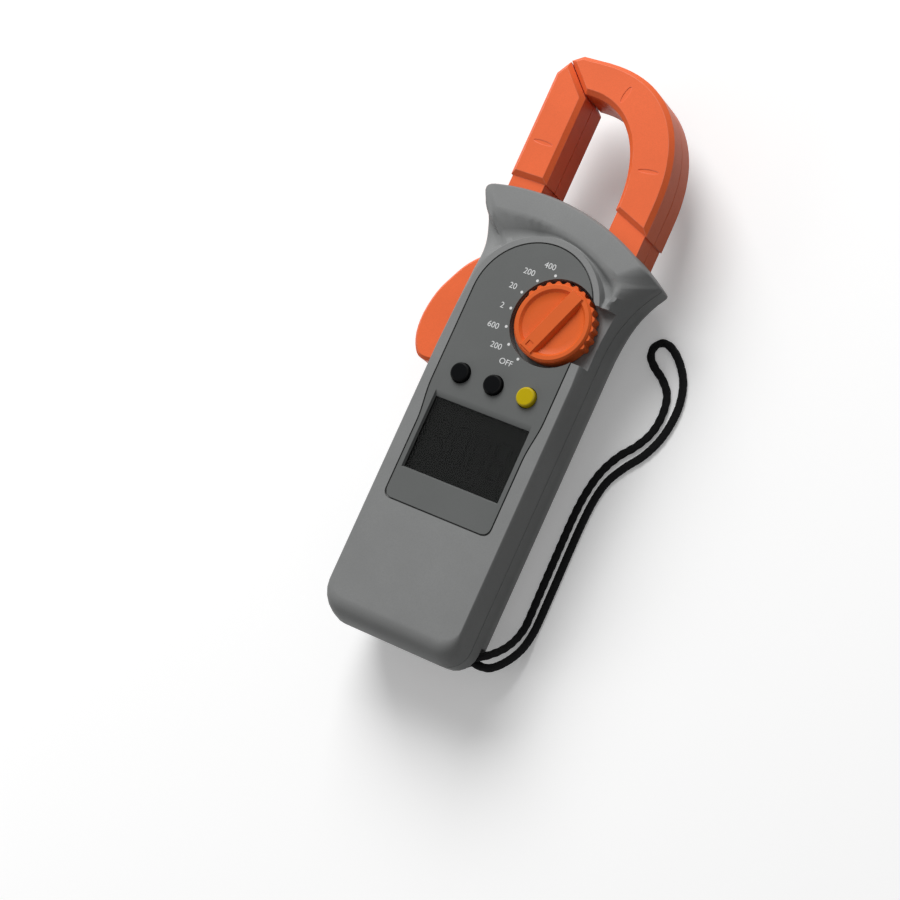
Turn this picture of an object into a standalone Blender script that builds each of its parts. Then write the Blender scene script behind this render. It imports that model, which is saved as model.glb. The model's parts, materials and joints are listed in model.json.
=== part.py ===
"""Clamp-type digital multimeter lying on its back.

+Z leaves the display face, +Y runs toward the jaws, +X is to the right seen from the front.
Driving dimensions are in millimetres and are scaled to metres where a mesh is made.
"""

from math import asin, atan2, copysign, cos, degrees, hypot, pi, radians, sin, sqrt

import bpy
from mathutils import Vector

for old_object in list(bpy.data.objects):
    bpy.data.objects.remove(old_object, do_unlink=True)

MM = 0.001

# Fits and walls
GAP = 0.3
WALL = 2.6
SLACK = 0.15

# Levels
SEAM_Z = 26.5
PANEL_Z = 38.0
HALF_SEAM = 0.15
HEAD_CEILING_Z = PANEL_Z - 5.7
DECK_UNDER_Z = PANEL_Z - 3.4
POCKET_Z = PANEL_Z - 1.4
BACK_WALL = 3.6

# Body outline
BODY_HALF = 30.0
BOTTOM_Y = -114.5
CORNER_R = 9.0
FLANGE_CX = -15.4
FLANGE_CY = -37.0
FLANGE_R = 96.5
FLANGE_BAND = 11.0
RIGHT_TIP_X = BODY_HALF + 11.0
LEFT_TIP_X = -BODY_HALF - 9.5
RIGHT_NECK_Y = 10.0
LEFT_NECK_Y = 25.0
RIGHT_TIP_ROUND = 1.5
LEFT_TIP_ROUND = 4.2
LOBE_LOW_Y = 45.5
RIDGE_LOW_ANGLE = 15.0
RIDGE_HIGH_ANGLE = 36.0
BAND_END_ANGLE = 38.0
MIDDLE_Y = (BOTTOM_Y + FLANGE_CY + FLANGE_R) / 2
HALF_LENGTH = MIDDLE_Y - BOTTOM_Y

# Raised face
FACE_DROP = 15.2
RIM_R = BODY_HALF - 3.2
FACE_CY = FLANGE_CY + FLANGE_R - FACE_DROP - RIM_R
RIM_HALF = BODY_HALF - 1.8
RIM_BOTTOM_Y = BOTTOM_Y + 8.5
PANEL_R = RIM_R - 2.7
PANEL_WAIST = RIM_R - 4.3
PANEL_BOTTOM_Y = -66.0
GROOVE = 0.55

# Dial
KNOB_X = 11.5
KNOB_Y = 14.5
KNOB_R = 15.0
KNOB_TOOTH = 0.9
KNOB_FACE_R = KNOB_R - 0.4
KNOB_TOP_Z = PANEL_Z + 1.3
KNOB_BASE_Z = PANEL_Z - 4.9
WELL_R = KNOB_R + KNOB_TOOTH + 1.0
WELL_FLOOR_Z = KNOB_BASE_Z - 0.5
FLOOR_THICK = 1.6
STEM_R = 5.2
OFF_ANGLE = 247.5
NOTCH_LOW_Y = 3.2
NOTCH_HIGH_Y = 26.0
NOTCH_FLOOR_Z = WELL_FLOOR_Z + 0.4

# Buttons
BUTTON_R = 3.7
BUTTON_Y = -14.3
BUTTON_STEP = 14.2
BUTTON_TOP_Z = PANEL_Z + 2.0

# Display
WINDOW_HALF = PANEL_WAIST - 2.2
WINDOW_TOP_Y = -25.2
WINDOW_BOTTOM_Y = -53.5
WINDOW_LEDGE = 1.3
LENS_Z = PANEL_Z - 2.9
LENS_THICK = 1.25

# Board
BOARD_Z = SEAM_Z + 1.1
BOARD_THICK = 1.6
BOARD_TOP_Z = BOARD_Z + BOARD_THICK
BOARD_HALF = BODY_HALF - 5.5
BOARD_LOW_Y = BOTTOM_Y + 28.5
BOARD_HIGH_Y = 26.5

# Jaws
JAW_FRONT_Z = PANEL_Z - 0.75
JAW_BACK_Z = 2 * SEAM_Z - JAW_FRONT_Z
JAW_BEVEL = 1.8
JAW_STEP = 2.0
JAW_RECESS = 0.7
JAW_OPENING = 30.0
BAR_OUTER_X = -30.9
BAR_INNER_X = -15.5
BAR_STEP_Y = 62.6
HOOK_INNER_X = BAR_INNER_X + JAW_OPENING
HOOK_WIDTH = 15.7
HOOK_OUTER_X = HOOK_INNER_X + HOOK_WIDTH
HOOK_TOP_Y = 114.0
HOOK_STEP_INNER_Y = 61.8
HOOK_STEP_OUTER_Y = 56.0
HOOK_BASE_Y = 42.5
INNER_CX = -14.0
INNER_CY = 62.0
INNER_RISE = 38.0
OUTER_CX = -12.0
OUTER_CY = 66.0
MATE_SUM = 83.1
MATE_GAP = 0.4
PIVOT_X = -21.0
PIVOT_Y = 40.0
PIN_R = 2.7
HUB_R = 6.4
JAW_SWING = 24.0
ARM_BACK_Z = SEAM_Z - 13.5
SPRING_R = 3.9
SPRING_WIRE = 0.5
SPRING_TURNS = 2.25
SPRING_SEAT_Z = ARM_BACK_Z - 4.0
ARM_FRONT_Z = SEAM_Z - 0.3
CORE_BACK_Z = SEAM_Z - 5.5
CORE_FRONT_Z = SEAM_Z + 2.5
LEG_LOW_Y = 44.2
LEG_HIGH_Y = 51.0
LEG_SPLIT_X = -10.0

# Power and input
BATTERY_HALF = 13.1
BATTERY_LOW_Y = BOTTOM_Y + 19.3
BATTERY_LENGTH = 46.2
BATTERY_THICK = 17.2
JACK_STEP = 9.5
JACK_Z = SEAM_Z - 8.0
SHROUD_R = 6.0
SHROUD_BORE_R = 4.3
SLEEVE_R = 2.6
SLEEVE_BORE_R = 2.05
SHROUD_FRONT_Y = BOTTOM_Y + 1.3
SHROUD_LENGTH = 14.7
JACK_END_Y = SHROUD_FRONT_Y + SHROUD_LENGTH
SLEEVE_SET_BACK = 6.0

# Fasteners
SCREW_X = BODY_HALF - 8.4
SCREW_LOW_Y = BOTTOM_Y + 17.5
SCREW_HIGH_Y = BOTTOM_Y + 53.5
SCREW_SPOTS = [
    (-SCREW_X, SCREW_LOW_Y),
    (SCREW_X, SCREW_LOW_Y),
    (-SCREW_X, SCREW_HIGH_Y),
    (SCREW_X, SCREW_HIGH_Y),
    (PIVOT_X + 13.5, PIVOT_Y - 2.0),
]
SCREW_R = 1.2
SCREW_HEAD_R = 2.6
POST_R = 3.8
BOSS_R = 3.2
BOARD_SCREW_SPOTS = [(4.0 - BOARD_HALF, 8.0), (BOARD_HALF - 4.0, BOARD_LOW_Y + 8.0)]
DOOR_SCREW_Y = BATTERY_LOW_Y + BATTERY_LENGTH + 9.0

# Strap
STRAP_HALF_WIDTH = 1.6
STRAP_HALF_THICK = 1.0
STRAP_Z = STRAP_HALF_THICK + 0.15
STRAP_PIN_X = BODY_HALF - 7.5
STRAP_PIN_Y = BOTTOM_Y + 7.0
STRAP_PIN_R = 1.4
STRAP_SLOT_LOW_Z = 11.0
STRAP_SLOT_HIGH_Z = 19.0


# Shapes as (vertices, faces)


def stack(rings):
    """Closed skin through rings of equal count, listed from low to high, anticlockwise from above."""
    count = len(rings[0])
    points = [p for ring in rings for p in ring]
    faces = [tuple(reversed(range(count)))]
    for level in range(len(rings) - 1):
        base = level * count
        for k in range(count):
            after = (k + 1) % count
            faces.append((base + k, base + after, base + count + after, base + count + k))
    last = (len(rings) - 1) * count
    faces.append(tuple(range(last, last + count)))
    return points, faces


def level(outline, z):
    return [(x, y, z) for x, y in outline]


def prism(outline, low, high):
    return stack([level(outline, low), level(outline, high)])


def rectangle(x0, x1, y0, y1):
    return [(x0, y0), (x1, y0), (x1, y1), (x0, y1)]


def block(x0, x1, y0, y1, z0, z1):
    return prism(rectangle(x0, x1, y0, y1), z0, z1)


def arc(cx, cy, radius, start, stop, steps):
    points = []
    for k in range(steps + 1):
        angle = radians(start + (stop - start) * k / steps)
        points.append((cx + radius * cos(angle), cy + radius * sin(angle)))
    return points


def circle(cx, cy, radius, steps):
    return arc(cx, cy, radius, 0.0, 360.0, steps)[:-1]


def turned(cx, cy, profile, steps):
    """Round piece about an upright axis from (radius, z) pairs, low to high."""
    return stack([level(circle(cx, cy, radius, steps), z) for radius, z in profile])


def bar_round(cx, cy, radius, low, high, steps=24):
    return turned(cx, cy, [(radius, low), (radius, high)], steps)


def frame(outer, inner, low, high):
    """Upright wall between two outlines of equal count."""
    count = len(outer)
    points = level(outer, low) + level(inner, low) + level(outer, high) + level(inner, high)
    faces = []
    for k in range(count):
        n = (k + 1) % count
        faces.append((k, n, 2 * count + n, 2 * count + k))
        faces.append((count + n, count + k, 3 * count + k, 3 * count + n))
        faces.append((k, count + k, count + n, n))
        faces.append((2 * count + k, 2 * count + n, 3 * count + n, 3 * count + k))
    return points, faces


def offset(outline, distance):
    """Outline moved inward by distance, with mitred corners (outward when negative)."""
    count = len(outline)
    moved = []
    for k in range(count):
        before = Vector(outline[k - 1])
        here = Vector(outline[k])
        after = Vector(outline[(k + 1) % count])
        first = (here - before).normalized()
        second = (after - here).normalized()
        normal_a = Vector((-first.y, first.x))
        normal_b = Vector((-second.y, second.x))
        bisector = (normal_a + normal_b).normalized()
        reach = distance / max(0.35, bisector.dot(normal_a))
        moved.append(tuple(here + bisector * reach))
    return moved


def bevelled(outline, low, high, bevel_low=0.0, bevel_high=0.0):
    """Prism with chamfered rims."""
    inset_low = offset(outline, bevel_low)
    inset_high = offset(outline, bevel_high)
    rings = []
    if bevel_low:
        rings.append(level(inset_low, low))
    rings.append(level(outline, low + bevel_low))
    rings.append(level(outline, high - bevel_high))
    if bevel_high:
        rings.append(level(inset_high, high))
    return stack(rings)


def sweep(path, half_width, half_thick, steps):
    """Oval rod along a path, its width level where it can be."""
    points = [Vector(p) for p in path]
    rings = []
    side = None
    for k, here in enumerate(points):
        ahead = points[min(k + 1, len(points) - 1)] - points[max(k - 1, 0)]
        ahead.normalize()
        upright = Vector((0.0, 0.0, 1.0))
        level_side = upright.cross(ahead)
        if level_side.length > 0.2:
            side = level_side.normalized()
        elif side is None:
            side = Vector((1.0, 0.0, 0.0))
        side = (side - ahead * side.dot(ahead)).normalized()
        top = ahead.cross(side)
        ring = []
        for n in range(steps):
            angle = 2 * pi * n / steps
            ring.append(tuple(here + side * (half_width * cos(angle)) + top * (half_thick * sin(angle))))
        rings.append(ring)
    return stack(rings)


def smooth_path(knots, steps):
    """Rounded run of points through the knots."""
    knots = [Vector(k) for k in knots]
    points = []
    for k in range(len(knots) - 1):
        p0 = knots[max(k - 1, 0)]
        p1 = knots[k]
        p2 = knots[k + 1]
        p3 = knots[min(k + 2, len(knots) - 1)]
        for n in range(steps):
            t = n / steps
            pull = (p2 - p0) * t + (2 * p0 - 5 * p1 + 4 * p2 - p3) * t**2 + (3 * p1 - p0 - 3 * p2 + p3) * t**3
            points.append(tuple(p1 + pull * 0.5))
    points.append(tuple(knots[-1]))
    return points


def laid_along_y(form, x, y, z):
    """Turns an upright form so that its top looks toward -Y, then moves it."""
    points, faces = form
    return [(x + px, y - pz, z + py) for px, py, pz in points], faces


def turned_form(form, angle, x, y):
    """Turns a form about the upright axis through the origin, then moves it."""
    points, faces = form
    c = cos(radians(angle))
    s = sin(radians(angle))
    return [(x + c * px - s * py, y + s * px + c * py, pz) for px, py, pz in points], faces


# Objects


def make(name, *forms):
    points = []
    faces = []
    for form_points, form_faces in forms:
        start = len(points)
        points.extend(tuple(c * MM for c in p) for p in form_points)
        faces.extend(tuple(start + i for i in face) for face in form_faces)
    mesh = bpy.data.meshes.new(name)
    mesh.from_pydata(points, [], faces)
    mesh.update()
    made = bpy.data.objects.new(name, mesh)
    bpy.context.scene.collection.objects.link(made)
    return made


def tool(name, *forms):
    """Working shape that cuts or joins and is not a piece."""
    made = make(name, *forms)
    made.hide_render = True
    made.display_type = "WIRE"
    return made


def combine(target, operation, tools):
    for other in tools:
        step = target.modifiers.new(other.name, "BOOLEAN")
        step.operation = operation
        step.solver = "EXACT"
        step.object = other


def cut(target, *tools):
    combine(target, "DIFFERENCE", tools)


def fuse(target, *tools):
    combine(target, "UNION", tools)


def finish(target, colour, roughness, metallic=0.0):
    material = bpy.data.materials.new(target.name + "_finish")
    material.use_nodes = True
    shader = material.node_tree.nodes["Principled BSDF"]
    shader.inputs["Base Color"].default_value = (*colour, 1.0)
    shader.inputs["Roughness"].default_value = roughness
    shader.inputs["Metallic"].default_value = metallic
    target.data.materials.append(material)
    return target


ORANGE = (0.78, 0.16, 0.04)
GREY = (0.19, 0.195, 0.195)
BLACK = (0.012, 0.012, 0.013)
YELLOW = (0.66, 0.52, 0.01)
RED = (0.5, 0.02, 0.015)
STEEL = (0.6, 0.6, 0.62)
BRASS = (0.7, 0.5, 0.2)
COPPER = (0.7, 0.33, 0.18)
GREEN = (0.03, 0.2, 0.08)
RUBBER = (0.2, 0.2, 0.21)


# Body outline, rim and skins


def clamp(value, low=0.0, high=1.0):
    return max(low, min(high, value))


def ease(value):
    t = clamp(value)
    return t * t * (3 - 2 * t)


def flange_y(x):
    return FLANGE_CY + sqrt(FLANGE_R**2 - (x - FLANGE_CX) ** 2)


def neck(neck_y, tip_x, tip_round, steps):
    """Hollow run from the straight side to just short of a flange tip, drawn on the right."""
    run = abs(tip_x) - BODY_HALF
    rise = flange_y(tip_x) - neck_y
    radius = (run * run + rise * rise) / (2 * run)
    swing = asin(rise / radius) - tip_round / radius
    points = []
    for k in range(steps + 1):
        angle = swing * (k / steps) ** 0.7
        points.append((BODY_HALF + radius * (1 - cos(angle)), neck_y + radius * sin(angle)))
    return points


def rounded(before, corner, after, steps):
    """Points between two ends on a curve that leans into the corner."""
    points = []
    for k in range(1, steps):
        t = k / steps
        u = 1 - t
        x = u * u * before[0] + 2 * u * t * corner[0] + t * t * after[0]
        y = u * u * before[1] + 2 * u * t * corner[1] + t * t * after[1]
        points.append((x, y))
    return points


def flange_angle(x):
    return degrees(atan2(flange_y(x) - FLANGE_CY, x - FLANGE_CX))


def body_outline():
    """Case outline at the seam, anticlockwise from the middle of the bottom end."""
    corner_x = BODY_HALF - CORNER_R
    corner_y = BOTTOM_Y + CORNER_R
    outline = [(0.0, BOTTOM_Y), (corner_x / 2, BOTTOM_Y)]
    outline += arc(corner_x, corner_y, CORNER_R, -90.0, 0.0, 6)
    rows = 8
    for k in range(1, rows):
        outline.append((BODY_HALF, corner_y + (RIGHT_NECK_Y - corner_y) * k / rows))
    right_neck = neck(RIGHT_NECK_Y, RIGHT_TIP_X, RIGHT_TIP_ROUND, 12)
    left_neck = [(-x, y) for x, y in reversed(neck(LEFT_NECK_Y, LEFT_TIP_X, LEFT_TIP_ROUND, 12))]
    start = flange_angle(RIGHT_TIP_X) + degrees(RIGHT_TIP_ROUND / FLANGE_R)
    stop = flange_angle(LEFT_TIP_X) - degrees(LEFT_TIP_ROUND / FLANGE_R)
    edge = arc(FLANGE_CX, FLANGE_CY, FLANGE_R, start, stop, 34)
    outline += right_neck
    outline += rounded(right_neck[-1], (RIGHT_TIP_X, flange_y(RIGHT_TIP_X)), edge[0], 3)
    outline += edge
    outline += rounded(edge[-1], (LEFT_TIP_X, flange_y(LEFT_TIP_X)), left_neck[0], 5)
    outline += left_neck
    for k in range(1, rows):
        outline.append((-BODY_HALF, LEFT_NECK_Y + (corner_y - LEFT_NECK_Y) * k / rows))
    outline += arc(-corner_x, corner_y, CORNER_R, 180.0, 270.0, 6)
    outline.append((-corner_x / 2, BOTTOM_Y))
    return outline


def rim_point(x, y):
    """Where the raised face begins, inward of one outline point."""
    if y > FACE_CY:
        length = hypot(x, y - FACE_CY)
        return x / length * RIM_R, FACE_CY + (y - FACE_CY) / length * RIM_R
    half = RIM_HALF - (RIM_HALF - RIM_R) * ease(1 - (FACE_CY - y) / 20.0)
    fold_y = RIM_BOTTOM_Y + 16.0
    if y < fold_y:
        y = fold_y - (fold_y - y) * (fold_y - RIM_BOTTOM_Y) / (fold_y - BOTTOM_Y)
    return x * half / BODY_HALF, y


SIDE_REACH = [0.0, 0.05, 0.1, 0.16, 0.24, 0.34, 0.46, 0.6, 0.74, 0.88, 1.0]
SIDE_RISE = [0.0, 0.18, 0.34, 0.48, 0.62, 0.74, 0.84, 0.91, 0.96, 0.99, 1.0]


def ridge_reach(angle):
    """Distance from the face centre to the inner edge of the flange band, along one direction."""
    c = cos(radians(angle))
    s = sin(radians(angle))
    along = c * FLANGE_CX + s * (FLANGE_CY - FACE_CY)
    spread = FLANGE_CX**2 + (FLANGE_CY - FACE_CY) ** 2
    return along + sqrt(along**2 - spread + (FLANGE_R - FLANGE_BAND) ** 2)


def front_column(x, y):
    """Points up the front case skin from one outline point to the rim."""
    rim_x, rim_y = rim_point(x, y)
    reach = hypot(rim_x - x, rim_y - y)
    toward = ((rim_x - x) / reach, (rim_y - y) / reach)
    low = SEAM_Z + HALF_SEAM
    neck_y = RIGHT_NECK_Y if x > 0 else LEFT_NECK_Y
    flange = ease((y - neck_y - 2.0) / 20.0)
    angle = degrees(atan2(max(0.0, y - FACE_CY), x))
    room = ridge_reach(angle) - RIM_R
    lobe = 1.0
    slope = 0.0
    if x > 0:
        room = 1.5 + (room - 1.5) * ease((angle - RIDGE_LOW_ANGLE) / (RIDGE_HIGH_ANGLE - RIDGE_LOW_ANGLE))
        slope = ease((BAND_END_ANGLE - angle) / 8.0)
    else:
        lobe = ease((y - LOBE_LOW_Y) / 4.0)
    room = min(room, 0.6 * reach)
    ridge = reach - room
    valley = PANEL_Z - min(3.6, 0.6 * room)
    top = valley + (PANEL_Z - valley) * lobe
    edge_z = top - 0.5 - 6.5 * slope
    edge = min(1.6, 0.4 * ridge)
    shoulder = edge + (0.45 * ridge - edge) * slope
    flange_run = [
        (0.0, low),
        (0.15 * edge, edge_z - 2.1),
        (0.55 * edge, edge_z - 0.7),
        (shoulder, edge_z + (top - edge_z) * 0.4 * slope),
        (max(ridge - 1.5, 0.75 * ridge), top - 0.5 * slope),
        (ridge + 0.12 * room, top - 0.35 * lobe),
        (ridge + 0.45 * room, valley + 0.35),
        (ridge + 0.7 * room, valley),
        (ridge + 0.86 * room, valley + 0.25),
        (ridge + 0.94 * room, PANEL_Z - 1.0),
        (reach, PANEL_Z),
    ]
    column = []
    for k, (flange_reach, flange_z) in enumerate(flange_run):
        side_reach = reach * SIDE_REACH[k]
        side_z = low + (PANEL_Z - low) * SIDE_RISE[k]
        far = side_reach + (flange_reach - side_reach) * flange
        z = side_z + (flange_z - side_z) * flange
        column.append((x + toward[0] * far, y + toward[1] * far, z))
    return column


def without_wings(outline, wing):
    """Outline with the flange tips drawn in to the straight sides."""
    return [(x - copysign((1 - wing) * max(0.0, abs(x) - BODY_HALF), x), y) for x, y in outline]


def shrunk(outline, inset):
    """Outline drawn in on every side by an even scale."""
    scale_x = 1 - inset / BODY_HALF
    scale_y = 1 - inset / HALF_LENGTH
    return [(x * scale_x, MIDDLE_Y + (y - MIDDLE_Y) * scale_y) for x, y in outline]


OUTLINE = body_outline()
PLAIN = without_wings(OUTLINE, 0.0)

columns = [front_column(x, y) for x, y in OUTLINE]
FRONT_SKIN = stack([[column[k] for column in columns] for k in range(len(SIDE_REACH))])

# Share of the seam height, inset and how far the flange tips stand out
REAR_LEVELS = [
    (0.0, 11.5, 0.0),
    (0.04, 9.2, 0.0),
    (0.11, 6.6, 0.1),
    (0.23, 4.2, 0.25),
    (0.38, 2.4, 0.5),
    (0.55, 1.1, 0.8),
    (0.72, 0.2, 1.0),
    (1.0, 0.0, 1.0),
]
REAR_HIGH_Z = SEAM_Z - HALF_SEAM
REAR_SKIN = stack(
    [
        level(shrunk(without_wings(OUTLINE, wing), inset), share * REAR_HIGH_Z)
        for share, inset, wing in REAR_LEVELS
    ]
)


def panel_outline(grow):
    """Face panel outline: round about the dial, narrowing to a waist beside the display."""
    side = PANEL_R + grow
    waist = PANEL_WAIST + grow
    low = PANEL_BOTTOM_Y - grow
    right = [(waist - 3.0, low)] + arc(waist - 3.0, low + 3.0, 3.0, -60.0, 0.0, 3)
    bend_low = WINDOW_TOP_Y - 11.0
    bend_high = WINDOW_TOP_Y + 5.0
    for k in range(9):
        t = k / 8
        right.append((waist + (side - waist) * ease(t), bend_low + (bend_high - bend_low) * t))
    outline = list(right)
    outline += arc(0.0, FACE_CY, side, 0.0, 180.0, 36)
    outline += [(-x, y) for x, y in reversed(right)]
    return outline


# Cutting shapes for the case

well = tool("dial_well", bar_round(KNOB_X, KNOB_Y, WELL_R, WELL_FLOOR_Z, PANEL_Z + 8.0, 48))
notch = tool(
    "thumb_notch",
    block(KNOB_X + 4.0, RIGHT_TIP_X + 5.0, NOTCH_LOW_Y, NOTCH_HIGH_Y, NOTCH_FLOOR_Z, PANEL_Z + 9.0),
)
button_spots = [(-BUTTON_STEP, BUTTON_Y), (0.0, BUTTON_Y), (BUTTON_STEP, BUTTON_Y)]
button_holes = [
    bar_round(x, y, BUTTON_R + GAP, DECK_UNDER_Z - 2.0, PANEL_Z + 3.0, 28) for x, y in button_spots
]

# Room for the moving jaw, as far as it swings
SWING_SIDE_X = BAR_INNER_X + 0.3
SWING_GAP = 0.4
BAR_BASE_INNER_X = BAR_INNER_X - JAW_RECESS
BAR_BASE_OUTER_X = BAR_OUTER_X + JAW_RECESS
BAR_BASE_Y = flange_y(BAR_OUTER_X) - 0.8


def swung(x, y, angle):
    """Where a point of the moving jaw goes when the jaw has opened by an angle."""
    c = cos(radians(angle))
    s = sin(radians(angle))
    return (
        PIVOT_X + c * (x - PIVOT_X) - s * (y - PIVOT_Y),
        PIVOT_Y + s * (x - PIVOT_X) + c * (y - PIVOT_Y),
    )


def swing_low_outline(ease_down):
    return [
        (SWING_SIDE_X, PIVOT_Y + 6.0),
        (SWING_SIDE_X, BAR_STEP_Y + 14.0),
        (LEFT_TIP_X - 30.0, BAR_STEP_Y + 14.0),
        (LEFT_TIP_X - 30.0, PIVOT_Y + 12.0 - ease_down),
        (PIVOT_X - 33.0, PIVOT_Y + 2.0 - ease_down),
        (PIVOT_X - 21.6, PIVOT_Y + 0.4 - ease_down),
        (PIVOT_X - 8.0, PIVOT_Y - 2.5),
    ]


def swing_tall_outline(ease_down):
    inner = swung(BAR_BASE_INNER_X, BAR_BASE_Y, JAW_SWING)
    outer = swung(BAR_BASE_OUTER_X, BAR_BASE_Y, JAW_SWING)
    return [
        (SWING_SIDE_X, BAR_BASE_Y - SWING_GAP),
        (SWING_SIDE_X, BAR_STEP_Y + 13.0),
        (LEFT_TIP_X - 29.0, BAR_STEP_Y + 13.0),
        (LEFT_TIP_X - 29.0, outer[1] - SWING_GAP - ease_down),
        (outer[0], outer[1] - SWING_GAP - ease_down),
        (inner[0], min(inner[1], BAR_BASE_Y) - SWING_GAP),
    ]


SWING_EASE = 3.2
swing_low = tool(
    "jaw_swing_low",
    stack(
        [
            level(swing_low_outline(SWING_EASE), JAW_BACK_Z + JAW_STEP - SWING_GAP),
            level(swing_low_outline(SWING_EASE), SEAM_Z),
            level(swing_low_outline(0.0), HEAD_CEILING_Z),
        ]
    ),
)
swing_tall = tool(
    "jaw_swing_tall",
    stack(
        [
            level(swing_tall_outline(SWING_EASE), SEAM_Z - 2.0),
            level(swing_tall_outline(SWING_EASE), HEAD_CEILING_Z - 1.0),
            level(swing_tall_outline(0.0), JAW_FRONT_Z - JAW_STEP + SWING_GAP),
        ]
    ),
)
# Trigger outline: round its end from the case side, then up from the pivot and out again
TRIGGER_RUN = [
    (-BODY_HALF - 2.0, PIVOT_Y - 7.2),
    (-BODY_HALF - 7.5, PIVOT_Y - 13.0),
    (-BODY_HALF - 11.5, PIVOT_Y - 20.0),
    (-BODY_HALF - 14.5, PIVOT_Y - 27.0),
    (-BODY_HALF - 16.0, PIVOT_Y - 36.0),
    (-BODY_HALF - 15.3, PIVOT_Y - 44.0),
    (-BODY_HALF - 12.5, PIVOT_Y - 50.0),
    (-BODY_HALF - 9.0, PIVOT_Y - 52.5),
    (-BODY_HALF - 3.0, PIVOT_Y - 52.0),
    (-BODY_HALF + 1.5, PIVOT_Y - 48.0),
    (-BODY_HALF + 3.0, PIVOT_Y - 38.0),
    (-BODY_HALF + 5.0, PIVOT_Y - 28.0),
    (-BODY_HALF + 9.5, PIVOT_Y - 18.0),
]
ARM = [(x, y) for x, y, z in smooth_path([(x, y, 0.0) for x, y in TRIGGER_RUN], 3)]
ARM += [
    (PIVOT_X - 4.0, PIVOT_Y - 6.2),
    (PIVOT_X - 1.0, PIVOT_Y),
    (PIVOT_X + 2.0, PIVOT_Y + 6.0),
    (BAR_BASE_OUTER_X, PIVOT_Y + 7.0),
    (-BODY_HALF - 1.4, PIVOT_Y + 0.4),
]
ARM_REACH = max(hypot(x - PIVOT_X, y - PIVOT_Y) for x, y in ARM)
ARM_SWEEP = [(PIVOT_X, PIVOT_Y)] + arc(PIVOT_X, PIVOT_Y, ARM_REACH + 1.2, 110.0, 279.0, 34)
arm_sweep = tool("arm_sweep", prism(ARM_SWEEP, ARM_BACK_Z - 0.4, SEAM_Z + 1.0))

HOOK_BASE = [
    (HOOK_INNER_X + JAW_RECESS, HOOK_BASE_Y),
    (HOOK_OUTER_X - JAW_RECESS, HOOK_BASE_Y),
    (HOOK_OUTER_X - JAW_RECESS, HOOK_STEP_OUTER_Y + 2.0),
    (HOOK_INNER_X + JAW_RECESS, HOOK_STEP_INNER_Y + 2.0),
]
hook_pocket = tool(
    "hook_pocket",
    prism(offset(HOOK_BASE, -GAP), JAW_BACK_Z + JAW_STEP - GAP, JAW_FRONT_Z - JAW_STEP + GAP),
)

# Front case

front_posts = [bar_round(x, y, BOSS_R, SEAM_Z + HALF_SEAM, PANEL_Z, 20) for x, y in SCREW_SPOTS]
front_posts += [
    bar_round(x, y, BOSS_R - 0.6, BOARD_TOP_Z + GAP, PANEL_Z, 20) for x, y in BOARD_SCREW_SPOTS
]
front_keep = tool("front_posts", *front_posts)
dial_cup = tool(
    "dial_cup",
    bar_round(KNOB_X, KNOB_Y, WELL_R + 2.0, WELL_FLOOR_Z - FLOOR_THICK, PANEL_Z + 1.0, 48),
)
head_outline = [(x, max(y, BOTTOM_Y + 4.0)) for x, y in shrunk(PLAIN, WALL)]
front_space = tool("front_space", prism(head_outline, SEAM_Z - 2.0, HEAD_CEILING_Z))
deck_half = RIM_HALF - WALL
deck_space = tool(
    "front_deck_space",
    prism(
        [
            (-deck_half, RIM_BOTTOM_Y + 3.0),
            (deck_half, RIM_BOTTOM_Y + 3.0),
            (deck_half, KNOB_Y - 2.5),
            (deck_half - 1.8, BOARD_HIGH_Y + 0.6),
            (1.8 - deck_half, BOARD_HIGH_Y + 0.6),
            (-deck_half, KNOB_Y - 2.5),
        ],
        SEAM_Z - 3.0,
        DECK_UNDER_Z,
    ),
)
fuse(front_space, deck_space)
cut(front_space, front_keep, dial_cup)

panel_pocket = tool("panel_pocket", prism(panel_outline(GROOVE), POCKET_Z, PANEL_Z + 7.0))
lens_half = WINDOW_HALF + WINDOW_LEDGE
LENS_LOW_Y = WINDOW_BOTTOM_Y - WINDOW_LEDGE
LENS_HIGH_Y = WINDOW_TOP_Y + WINDOW_LEDGE
sight = rectangle(-WINDOW_HALF, WINDOW_HALF, WINDOW_BOTTOM_Y, WINDOW_TOP_Y)
ledge = offset(rectangle(-lens_half, lens_half, LENS_LOW_Y, LENS_HIGH_Y), -GAP)
display_hole = tool(
    "display_hole",
    stack(
        [
            level(sight, DECK_UNDER_Z - 2.0),
            level(sight, LENS_Z - GAP),
            level(ledge, LENS_Z - GAP),
            level(ledge, PANEL_Z + 4.0),
        ]
    ),
)
front_holes = tool(
    "front_holes",
    *button_holes,
    bar_round(KNOB_X, KNOB_Y, STEM_R + GAP, WELL_FLOOR_Z - FLOOR_THICK - 2.0, WELL_FLOOR_Z + 1.0),
    bar_round(PIVOT_X, PIVOT_Y, PIN_R + GAP, HEAD_CEILING_Z - 1.0, HEAD_CEILING_Z + 1.2),
    *[bar_round(x, y, SCREW_R + SLACK, SEAM_Z - 1.0, SEAM_Z + 6.0, 16) for x, y in SCREW_SPOTS],
    *[
        bar_round(x, y, SCREW_R + SLACK, BOARD_TOP_Z - 1.0, BOARD_TOP_Z + 4.0, 16)
        for x, y in BOARD_SCREW_SPOTS
    ],
)
front_case = make("front_case", FRONT_SKIN)
cut(front_case, front_space, panel_pocket, well, notch, display_hole, front_holes)
cut(front_case, swing_low, swing_tall, hook_pocket)
finish(front_case, GREY, 0.55)

# Rear case

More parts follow.
